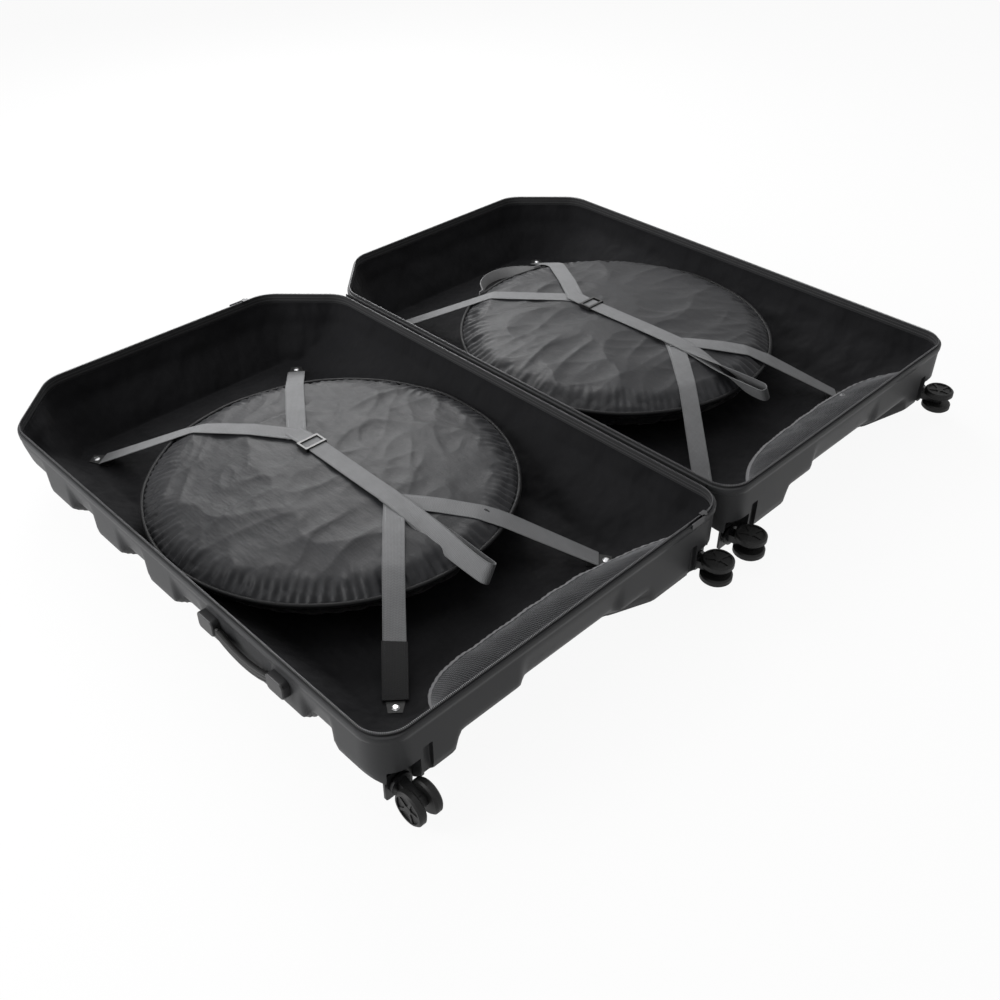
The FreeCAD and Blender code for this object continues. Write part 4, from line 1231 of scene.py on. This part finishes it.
@dataclass
class Straps:
    """Webbing of one half: rear and front straps, and the adjusting strap with its fold."""

    half: Half
    rim: Rim
    under: list[Piece]
    width: float = 38 * MM
    thickness: float = 1.7 * MM
    spread: float = 246 * MM
    rear_anchor: float = -499.5 * MM
    front_anchor: float = 422.5 * MM
    plate: float = 27 * MM
    plate_reach: float = 14 * MM
    apex_lap: float = 12 * MM
    slide_reach: float = 220 * MM
    floor: float = 26 * MM
    leg_steps: int = 70
    tab_steps: int = 17
    fold: float = 9 * MM
    fold_steps: int = 9
    tip: float = 124 * MM
    tip_roll: float = math.radians(62)

    def __post_init__(self) -> None:
        """Reads the places of the straps from their boxes and makes the bag's surface searchable."""
        rear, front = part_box("lid_strap_rear"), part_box("lid_strap_front")
        loop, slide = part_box("lid_strap_loop"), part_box("lid_strap_adjuster")
        self.rear_apex = rear[1].x - self.apex_lap
        self.front_apex = front[0].x + self.apex_lap
        self.loop_end = loop[1].x - 2 * MM
        self.level = (slide[0].z + slide[1].z) / 2
        self.slide_end = slide[0].x + self.slide_reach
        self.middle = self.rim.middle_y
        state = bpy.context.evaluated_depsgraph_get()
        self.trees = [bvhtree.BVHTree.FromObject(thing, state) for thing in self.under]

    def height(self, x: float, y: float) -> float:
        """Height of what lies under a place: the bag or the lining's floor."""
        hits = [tree.ray_cast(Vector((x, y * self.half.value, 1.0)), Vector((0, 0, -1)))[0] for tree in self.trees]
        return max((hit.z for hit in hits if hit is not None), default=self.floor)

    def leg(self, anchor: tuple[float, float], apex: tuple[float, float], lift: float) -> list[Station]:
        """Stations of one strap leg from its anchor plate, tight over the bag, to the middle."""
        start, end, count = Vector((*anchor, 0)), Vector((*apex, 0)), self.leg_steps
        run = (end - start).normalized()
        side = Vector((-run.y, run.x, 0))
        start = start + run * self.plate_reach
        line = [start.lerp(end, i / count) for i in range(count + 1)]
        edges = []
        for lean in (-0.5, 0.5):
            spots = [here + side * (self.width * lean) for here in line]
            heights = [self.plate + 1.2 * MM] + [self.height(spot.x, spot.y) + lift for spot in spots[1:]]
            edges.append(taut([(i / count, height) for i, height in enumerate(heights)]))
        stations = []
        for i, here in enumerate(line):
            low, high = edges[0][i], edges[1][i]
            before, after = max(i - 1, 0), min(i + 1, count)
            tilt = (side * self.width + Vector((0, 0, high - low))).normalized()
            wave = noise.noise(Vector((here.x * 9, here.y * 9, 3.1))) * 0.8 * MM
            rise = edges[0][after] + edges[1][after] - edges[0][before] - edges[1][before]
            step = (end - start).length / count * (after - before) * 2
            forward = Vector((run.x, run.y, rise / step)).normalized()
            middle = Vector((here.x, here.y, (low + high) / 2 + max(wave, 0)))
            stations.append(Station(middle, tilt, forward.cross(tilt).normalized()))
        return stations

    def vee(self, name: str, node: str, anchor_x: float, apex: float, webbing: Material) -> list[Station]:
        """Models the two legs of a strap, sewn together where they meet, and returns the outer leg's stations."""
        lap = 6 * MM
        towards = lap if apex > anchor_x else -lap
        legs = []
        stations: list[Station] = []
        for place, lift in ((-1, 1.2 * MM), (1, 3.1 * MM)):
            anchor = (anchor_x, self.middle + place * self.spread)
            stations = self.leg(anchor, (apex + towards, self.middle - place * lap), lift)
            total = (stations[-1].middle - stations[0].middle).length
            sewn = [(2 * MM, 34 * MM), (total - 60 * MM, total - 4 * MM)]
            legs.append(ribbon(self.half.node(name), stations, self.width, self.thickness, sewn))
        piece = mirrored(joined(legs), self.half)
        finish_piece(piece, webbing, self.half.body, [self.half.node(node)])
        length = 2 * math.hypot(apex - anchor_x, self.spread)
        self.width * length
        return stations

    def sleeve(self, stations: list[Station], webbing: Material) -> None:
        """Models the black tab that is sewn round a leg above its anchor."""
        part = stations[:self.tab_steps]
        length = run_length(part)
        width = self.width + 4 * MM
        piece = ribbon(self.half.node("strap_tab"), part, width, self.thickness + 2.6 * MM,
                       [(0, 12 * MM), (length - 26 * MM, length)])
        mirrored(piece, self.half)
        finish_piece(piece, webbing, self.half.body)
        width * length

    def upper(self, x: float, begin: float, level: float) -> Station:
        """Place on the adjusting strap's upper run, which begins at a place and level."""
        end = self.loop_end
        drop = smooth(x, self.slide_end, end)
        rise = smooth(x, begin + 14 * MM, begin + 46 * MM)
        z = level + (self.level - level) * rise - (self.level - self.tip) * drop
        y = self.middle + 9 * MM * drop + 1.5 * MM * math.sin(x * 14)
        roll = self.tip_roll * smooth(x, self.slide_end + 30 * MM, end - 10 * MM)
        return Station(Vector((x, y, z)), *rolled(roll))

    def adjusting(self, webbing: Material) -> None:
        """Models the adjusting strap: flat through its slide, rolled on edge at its end, and back underneath."""
        begin, end, back_end = self.rear_apex - 14 * MM, self.loop_end, self.front_apex - 16 * MM
        level = self.height(begin, self.middle) + 6 * MM
        low_level = self.height(self.front_apex, self.middle) + 6.2 * MM
        count, back_count = 84, 45
        stations = [self.upper(begin + (end - begin) * i / count, begin, level) for i in range(count + 1)]
        last, fold = stations[-1], self.fold
        for i in range(1, self.fold_steps):
            turn = math.pi * i / self.fold_steps
            bulge = Vector((fold * 1.4 * math.sin(turn), 0, 0))
            normal = last.up * math.cos(turn) + Vector((math.sin(turn), 0, 0))
            place = last.middle - last.up * fold + last.up * (fold * math.cos(turn)) + bulge
            stations.append(Station(place, last.side, normal.normalized()))
        for i in range(back_count + 1):
            x = end + (back_end - end) * i / back_count
            over = self.upper(x, begin, level)
            share = 1 - smooth(x, back_end + 10 * MM, end - 20 * MM)
            place = over.middle - over.up * (fold * 2)
            floor = self.height(x, place.y) + 2.6 * MM
            flat = Vector((x, self.middle + 2 * MM, max(low_level, floor)))
            side, up = rolled(math.atan2(over.up.y, over.up.z) * (1 - share))
            stations.append(Station(place.lerp(flat, share), side, -up))
        length = run_length(stations)
        piece = ribbon(self.half.node("adjusting_strap"), stations, self.width, self.thickness,
                       [(2 * MM, 40 * MM), (length - 36 * MM, length)])
        mirrored(piece, self.half)
        finish_piece(piece, webbing, self.half.body, [self.half.node("strap_loop")])
        self.width * length

    def build(self, webbing: Material, black: Material) -> None:
        """Models and dresses the straps."""
        self.vee("rear_webbing", "strap_rear", self.rear_anchor, self.rear_apex, webbing)
        outer_leg = self.vee("front_webbing", "strap_front", self.front_anchor, self.front_apex, webbing)
        if self.half is Half.BASE:
            self.sleeve(outer_leg, black)
        self.adjusting(webbing)


@dataclass
class BagLoop:
    """Carry loop of the lid's bag, sewn flat to the seam at both ends and standing between them."""

    bag: WheelBag
    spread: float = math.radians(17.5)
    lean: float = math.radians(24)
    bow: float = 44 * MM
    sag: float = 5 * MM
    width: float = 25 * MM
    thickness: float = 2.2 * MM
    height: float = 101 * MM
    steps: int = 60

    def build(self, webbing: Material) -> None:
        """Models and dresses the loop."""
        stations, upright = [], Vector((0, 0, 1))
        for i in range(self.steps + 1):
            share = 2 * i / self.steps - 1
            turn = math.pi + self.spread * share
            bow = self.bow * max(0.0, 1 - (share / 0.82) ** 2)
            heading = Vector((math.cos(turn), math.sin(turn), 0))
            lean = self.lean * (1 - smooth(abs(share), 0.5, 0.95))
            up = (upright * math.cos(lean) + heading * math.sin(lean)).normalized()
            facing = (heading * math.cos(lean) - upright * math.sin(lean)).normalized()
            level = self.height - self.sag * (1 - share * share)
            middle = self.bag.middle + heading * (self.bag.radius + 3.4 * MM + bow) + upright * level
            stations.append(Station(middle, up, facing))
        length = run_length(stations)
        piece = ribbon("lid_carry_loop", stations, self.width, self.thickness,
                       [(1 * MM, 30 * MM), (length - 30 * MM, length - 1 * MM)])
        finish_piece(piece, webbing, "lid", ["lid_bag_loop"])
        self.width * length


@dataclass
class NetPocket:
    """Mesh pocket of one half: a knitted net on the caster end's skirt, and its elastic hem."""

    half: Half
    rim: Rim
    columns: int = 120
    rows: int = 32
    strand: float = 0.65 * MM
    across: float = 272 * MM
    lid_aside: float = -36 * MM
    base_aside: float = 4 * MM
    mouth_away: float = 78 * MM
    mouth_drop: float = 40 * MM
    belly: float = 6 * MM
    hem_width: float = 9 * MM
    hem_thickness: float = 2.2 * MM
    hem_steps: int = 120
    cover: float = 0.5

    def __post_init__(self) -> None:
        """Reads the pocket's box."""
        low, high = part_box("lid_mesh_pocket")
        aside = self.lid_aside if self.half is Half.LID else self.base_aside
        self.seam = Vector((self.rim.front - 5 * MM, (low.y + high.y) / 2 + aside, self.rim.top - 15 * MM))
        self.reach = math.hypot(self.mouth_away, self.mouth_drop) + 8 * MM

    def place(self, u: float, v: float) -> Vector:
        """A place on the net: u from -1 to 1 across, v from 0 at the seam to 1 at the hem."""
        open_share = max(1 - abs(u) ** (2.6 if u < 0 else 6), 0.0)
        away = 2 * MM + (self.mouth_away * open_share + 6 * MM) * v
        down = self.mouth_drop * open_share * v + 3 * MM * v
        belly = math.sin(math.pi * min(v, 1.0)) * self.belly * open_share
        sag = noise.noise(Vector((u * 7, v * 2, 1.7 + self.half.value))) * 4 * MM * v * open_share
        return self.seam + Vector((-away, u * self.across, -down + belly + sag))

    def knot(self, row: int, column: int) -> Vector:
        """A knot of the net; every other row is moved by half a gap."""
        shift = 0.5 if row % 2 and 0 < column < self.columns else 0.0
        return self.place(2 * (column + shift) / self.columns - 1, row / self.rows)

    def hem(self) -> list[Station]:
        """Stations of the elastic along the net's mouth, a little gathered."""
        stations = []
        for i in range(self.hem_steps + 1):
            u = 2 * i / self.hem_steps - 1
            here, nearby, above = self.place(u, 1.02), self.place(u + 0.01, 1.02), self.place(u, 0.95)
            side = (here - above).normalized()
            normal = (nearby - here).normalized().cross(side).normalized()
            gather = math.sin(i * 2.1) * 0.7 * MM
            stations.append(Station(here + normal * gather + side * 4 * MM, side, normal))
        return stations

    def build(self, net: Material, elastic: Material, lining: Piece) -> None:
        """Models and dresses the net and its hem."""
        piece = gridded(self.half.node("knitted_net"), self.columns, self.rows, self.knot)
        apply_modifier(piece, "WIREFRAME", thickness=self.strand, use_even_offset=False, use_boundary=True)
        mirrored(piece, self.half)
        finish_piece(piece, net, self.half.body, [self.half.node("mesh_pocket")])
        stations = self.hem()
        hem = ribbon(self.half.node("elastic_hem"), stations, self.hem_width, self.hem_thickness,
                     [(0, run_length(stations))])
        mirrored(hem, self.half)
        finish_piece(hem, elastic, self.half.body, [self.half.node("pocket_hem")])


@dataclass
class ZipperRim:
    """Zipper tape and teeth round one half's rim."""

    half: Half
    rim: Rim
    inset: float = 3.8 * MM
    below: float = 14 * MM
    above: float = 4.2 * MM
    thickness: float = 1.8 * MM
    step: float = 9 * MM
    tooth: float = 2.9 * MM
    tooth_size: tuple[float, float, float] = (1.45 * MM, 2.6 * MM, 2.4 * MM)
    tooth_tip: tuple[float, float, float] = (0.6, 0.7, 1.0)

    def loop(self, step: float) -> list[tuple[Vector, Vector]]:
        """Places round the rim, a step apart, each with its inward direction."""
        runs = (("front_arc", 16), ("side", 90), ("cut_arc", 10), ("cut", 12), ("back_arc", 10))
        spots = [(run, i / count) for run, count in runs for i in range(count)] + [("back_arc", 1.0)]
        far_line = [Vector((*self.rim.side_point(run, share, self.inset), 0)) for run, share in spots]
        near_line = [Vector((p.x, 2 * self.rim.middle_y - p.y, 0)) for p in reversed(far_line)]
        line = far_line + near_line
        lengths = [(b - a).length for a, b in zip(line, line[1:] + line[:1])]
        count = round(sum(lengths) / step)
        found, at, passed = [], 0, 0.0
        for i in range(count):
            want = sum(lengths) * i / count
            while passed + lengths[at] < want:
                passed += lengths[at]
                at += 1
            a, b = line[at], line[(at + 1) % len(line)]
            run = (b - a).normalized()
            found.append((a.lerp(b, (want - passed) / lengths[at]), Vector((-run.y, run.x, 0))))
        return found

    def band(self, material: Material) -> None:
        """Models the tape."""
        width = self.above + self.below
        level = self.rim.top + (self.above - self.below) / 2
        stations = []
        for place, inward in self.loop(self.step):
            wave = max(noise.noise(place * 11) * 0.5 * MM, -0.3 * MM)
            stations.append(Station(place + inward * wave + Vector((0, 0, level)), Vector((0, 0, 1)), -inward))
        piece = ribbon(self.half.node("sewn_tape"), stations, width, self.thickness, (), True)
        for item in piece.data.attributes["across"].data:
            item.value += width / 2
        length = run_length(stations, closed=True)
        mirrored(piece, self.half)
        finish_piece(piece, material, self.half.body, [self.half.node("zipper_tape")])
        self.half.node("formed_shell")

    def teeth(self, material: Material) -> None:
        """Models one tooth and sets copies of it along the tape's upper edge."""
        piece = added(self.half.node("zipper_teeth"), bpy.ops.mesh.primitive_cube_add, size=1)
        corners = []
        for vert in piece.data.vertices:
            slim = self.tooth_tip if vert.co.z > 0 else (1.0, 1.0, 1.0)
            corners.append([c * size * share for c, size, share in zip(vert.co, self.tooth_size, slim)])
        faces = [list(f.vertices) for f in piece.data.polygons]
        points, sides = [], []
        for place, inward in self.loop(self.tooth):
            run = Vector((inward.y, -inward.x, 0))
            base = len(points)
            centre = place + Vector((0, 0, self.rim.top + self.above + 0.4 * MM))
            points += [centre + run * x + inward * y + Vector((0, 0, z)) for x, y, z in corners]
            sides += [[base + i for i in face] for face in faces]
        piece.data.clear_geometry()
        piece.data.from_pydata(points, [], sides)
        edit(piece)
        close_edit()
        mirrored(piece, self.half)
        finish_piece(piece, material, self.half.body)

    def build(self, tape: Material, metal: Material) -> None:
        """Models and dresses the tape and the teeth."""
        self.band(tape)
        self.teeth(metal)


@dataclass
class HingeCloth:
    """Cloth hinge between the two rims, a shallow trough."""

    sag: float = 13 * MM
    pucker: float = 1.6 * MM
    thickness: float = 1.4 * MM
    columns: int = 150
    rows: int = 14

    def build(self, cloth: Material) -> None:
        """Models and dresses the strip."""
        low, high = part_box("hinge_strip")
        half = high.y - 0.4 * MM

        def place(row: int, column: int) -> Vector:
            """A point of the trough."""
            lean = 2 * row / self.rows - 1
            x = low.x + (high.x - low.x) * column / self.columns
            dip = self.sag * (1 - lean ** 4)
            pucker = noise.noise(Vector((x * 24, lean * 1.2, 6.1))) * self.pucker * (1 - lean * lean)
            return Vector((x, half * lean, high.z - 0.5 * MM - dip + pucker))

        piece = gridded("hinge_cloth", self.columns, self.rows, place)
        apply_modifier(piece, "SOLIDIFY", thickness=self.thickness, offset=-1.0)
        bpy.ops.object.shade_smooth()
        piece.data.materials.append(cloth)
        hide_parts("hinge_strip")
        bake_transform(piece)


@dataclass
class CarryHandle:
    """Grip of the carry handle: a bowed band with two grooves along it, and its end mounts."""

    width: float = 18 * MM
    thickness: float = 9 * MM
    sag: float = 15 * MM
    drop: float = 3 * MM
    groove: float = 0.62
    neck: float = 0.72
    pin_radius: float = 4 * MM
    pin_length: float = 26 * MM
    steps: int = 48

    def section(self) -> list[tuple[float, float]]:
        """The band's section, across and through, with a groove on either side of its middle."""
        front = [(-1, -0.5), (-0.86, -1), (-0.5, -1), (-0.4, -self.groove), (-0.3, -1)]
        back = [(1, 0.6), (0.8, 1), (-0.8, 1), (-1, 0.6)]
        whole = front + [(-across, through) for across, through in reversed(front)] + back
        return [(across * self.width / 2, through * self.thickness / 2) for across, through in whole]

    def build(self, rubber: Material, plastic: Material) -> None:
        """Models and dresses the grip, and dresses its mounts."""
        rear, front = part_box("handle_mount_rear"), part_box("handle_mount_front")
        low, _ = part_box("handle_grip")
        start, end = rear[1].x + 0.5 * MM, front[0].x - 0.5 * MM
        axis_z = (rear[0].z + rear[1].z) / 2
        axis_y = low.y + self.thickness / 2
        middle, half = (start + end) / 2, (end - start) / 2
        rings = []
        for i in range(self.steps + 1):
            share = 2 * i / self.steps - 1
            centre = Vector((middle + half * share, axis_y, axis_z - self.sag * (1 - share * share) - self.drop))
            across = Vector((-2 * self.sag * share / half, 0, 1)).normalized()
            slim = self.neck + (1 - self.neck) * (1 - share ** 6)
            rings.append([centre + across * (a * slim) + Vector((0, b, 0)) for a, b in self.section()])
        grip, _ = extruded("handle_band", rings)
        pieces = [grip]
        for x in (start - 7 * MM, end + 7 * MM):
            pin = added("trunnion", bpy.ops.mesh.primitive_cylinder_add, vertices=20, radius=self.pin_radius,
                        depth=self.pin_length, location=(x, axis_y, axis_z), rotation=(0, math.pi / 2, 0))
            bpy.ops.object.transform_apply()
            apply_modifier(pin, "BEVEL", width=1 * MM, segments=2)
            pieces.append(pin)
        finish_piece(joined(pieces), rubber, "handle", ["handle_grip"], 50)
        for node in ("handle_mount_rear", "handle_mount_front"):
            dress(node, plastic)


@dataclass
class Studio:
    """Floor, soft light and the camera at the photograph's angle."""

    place: Vector = field(default_factory=lambda: Vector((1.3484, -1.3262, 1.3164)))
    ahead: Vector = field(default_factory=lambda: Vector((-0.5621, 0.5557, -0.6126)))
    lens: float = 39.71
    sensor: float = 36.0
    clip: tuple[float, float] = (0.05, 200.0)
    floor_size: float = 60.0
    sky: float = 0.28

    def build(self) -> None:
        """Adds the floor, the lamps, the world and the camera."""
        ground = added("pale_floor", bpy.ops.mesh.primitive_plane_add, size=self.floor_size, location=(0, 0, 0))
        ground.data.materials.append(Floor().make())
        self.lamp("overhead", (-0.5, 0.0, 2.7), (0, 0, 0), 2.0, 22)
        self.lamp("window", (-2.1, 1.1, 1.8), (0, 0.1, 0.1), 1.5, 62)
        self.lamp("side_fill", (-1.2, -2.7, 1.3), (0, 0, 0.1), 1.8, 80)
        self.world()
        self.camera()
        bpy.context.scene.view_settings.view_transform = "Standard"

    def world(self) -> None:
        """Adds a sky that lights softly and that the camera and glossy rays see white."""
        world = bpy.data.worlds.new("studio")
        world.use_nodes = True
        nodes, links = world.node_tree.nodes, world.node_tree.links
        back = nodes["Background"]
        back.inputs[0].default_value = (1, 1, 1, 1)
        rays = nodes.new("ShaderNodeLightPath")
        seen = nodes.new("ShaderNodeMapRange")
        seen.inputs["To Min"].default_value = self.sky
        seen.inputs["To Max"].default_value = 1.0
        found = rays.outputs["Is Camera Ray"]
        for kind in ("Is Glossy Ray", "Is Transmission Ray"):
            larger = nodes.new("ShaderNodeMath")
            larger.operation = "MAXIMUM"
            links.new(found, larger.inputs[0])
            links.new(rays.outputs[kind], larger.inputs[1])
            found = larger.outputs[0]
        links.new(found, seen.inputs["Value"])
        links.new(seen.outputs[0], back.inputs[1])
        bpy.context.scene.world = world

    def lamp(self, name: str, place: Sequence[float], aim: Sequence[float], size: float, power: float) -> None:
        """Adds a soft square lamp at a place, aimed at a point."""
        made = added(name, bpy.ops.object.light_add, type="AREA", location=place)
        made.data.size = size
        made.data.energy = power
        made.rotation_euler = (Vector(aim) - Vector(place)).to_track_quat("-Z", "Y").to_euler()

    def camera(self) -> None:
        """Adds the camera."""
        made = added("Camera", bpy.ops.object.camera_add, location=self.place)
        made.rotation_euler = self.ahead.to_track_quat("-Z", "Y").to_euler()
        made.data.lens = self.lens
        made.data.sensor_width = self.sensor
        made.data.clip_start, made.data.clip_end = self.clip
        bpy.context.scene.camera = made


def main() -> None:
    """Builds every sub-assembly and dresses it."""
    logging.basicConfig(level=logging.INFO, format="%(name)s: %(message)s")
    rim = Rim()
    shell_plastic = MouldedPlastic("shell_plastic", (0.036, 0.0365, 0.038), 0.46, 0.12).make()
    caster_plastic = MouldedPlastic("caster_plastic", (0.010, 0.010, 0.0105), 0.45, 0.3).make()
    wheel_rubber = MouldedPlastic("wheel_rubber", (0.012, 0.012, 0.012), 0.55, 0.25, 1400.0).make()
    mount_plastic = MouldedPlastic("mount_plastic", (0.018, 0.018, 0.019), 0.42, 0.35).make()
    grip_rubber = MouldedPlastic("grip_rubber", (0.014, 0.014, 0.014), 0.5, 0.3, 1600.0).make()
    buckle_plastic = MouldedPlastic("buckle_plastic", (0.008, 0.008, 0.008), 0.35, 0.4).make()
    lining_cloth = WovenCloth("lining_cloth", (0.0095, 0.0095, 0.0104), 0.66, 0.05, wrinkle=0.045).make()
    hinge_cloth = WovenCloth("hinge_cloth", (0.007, 0.007, 0.0075), 0.75, 0.15).make()
    anchor_cloth = WovenCloth("anchor_cloth", (0.010, 0.010, 0.010), 0.6, 0.3, 0.0022).make()
    net_cord = WovenCloth("net_cord", (0.15, 0.152, 0.158), 0.6, 0.25, 0.001).make()
    piping_cloth = WovenCloth("piping_cloth", (0.007, 0.007, 0.0075), 0.5, 0.12, 0.002).make()
    bag_nylon = BagNylon("bag_nylon", (0.013, 0.0133, 0.015)).make()
    strap_webbing = StrapWebbing("strap_webbing", (0.17, 0.172, 0.176)).make()
    loop_webbing = StrapWebbing("loop_webbing", (0.27, 0.27, 0.274), 0.025).make()
    elastic = StrapWebbing("hem_elastic", (0.11, 0.11, 0.114), 0.009, 0.0016).make()
    tab_webbing = StrapWebbing("tab_webbing", (0.014, 0.014, 0.0145), 0.042).make()
    tape_band = ZipperBand("zipper_band", (0.024, 0.024, 0.025), (0.10, 0.10, 0.104)).make()
    teeth_metal = BareMetal("teeth_metal", (0.16, 0.16, 0.165), 0.36).make()
    steel = BareMetal("rivet_steel", (0.72, 0.72, 0.73), 0.25).make()
    dark_metal = BareMetal("pull_metal", (0.06, 0.06, 0.062), 0.35).make()
    shown = {"strap_anchors": anchor_cloth, "anchor_rivets": steel, "strap_adjuster": buckle_plastic}
    caster = {"seat": caster_plastic, "fork": caster_plastic, "wheel_left": wheel_rubber, "wheel_right": wheel_rubber,
              "axle": steel}
    for corner in ("hinge", "outer"):
        shown |= {f"{corner}_caster_{name}": material for name, material in caster.items()}
    for half in Half:
        Shell(half, rim).build(shell_plastic)
        lining = Lining(half, rim).build(lining_cloth)
        bag = WheelBag(half)
        cushion = bag.build(bag_nylon, piping_cloth)
        Straps(half, rim, cushion).build(strap_webbing, tab_webbing)
        if half is Half.LID:
            BagLoop(bag).build(loop_webbing)
        NetPocket(half, rim).build(net_cord, elastic, lining)
        ZipperRim(half, rim).build(tape_band, teeth_metal)
        for name, material in shown.items():
            dress(half.node(name), material)
    HingeCloth().build(hinge_cloth)
    CarryHandle().build(grip_rubber, mount_plastic)
    for place in ("front", "rear"):
        dress("zipper_slider_" + place, dark_metal)
        dress("zipper_pull_" + place, dark_metal)
    Studio().build()


if __name__ == "__main__":
    main()
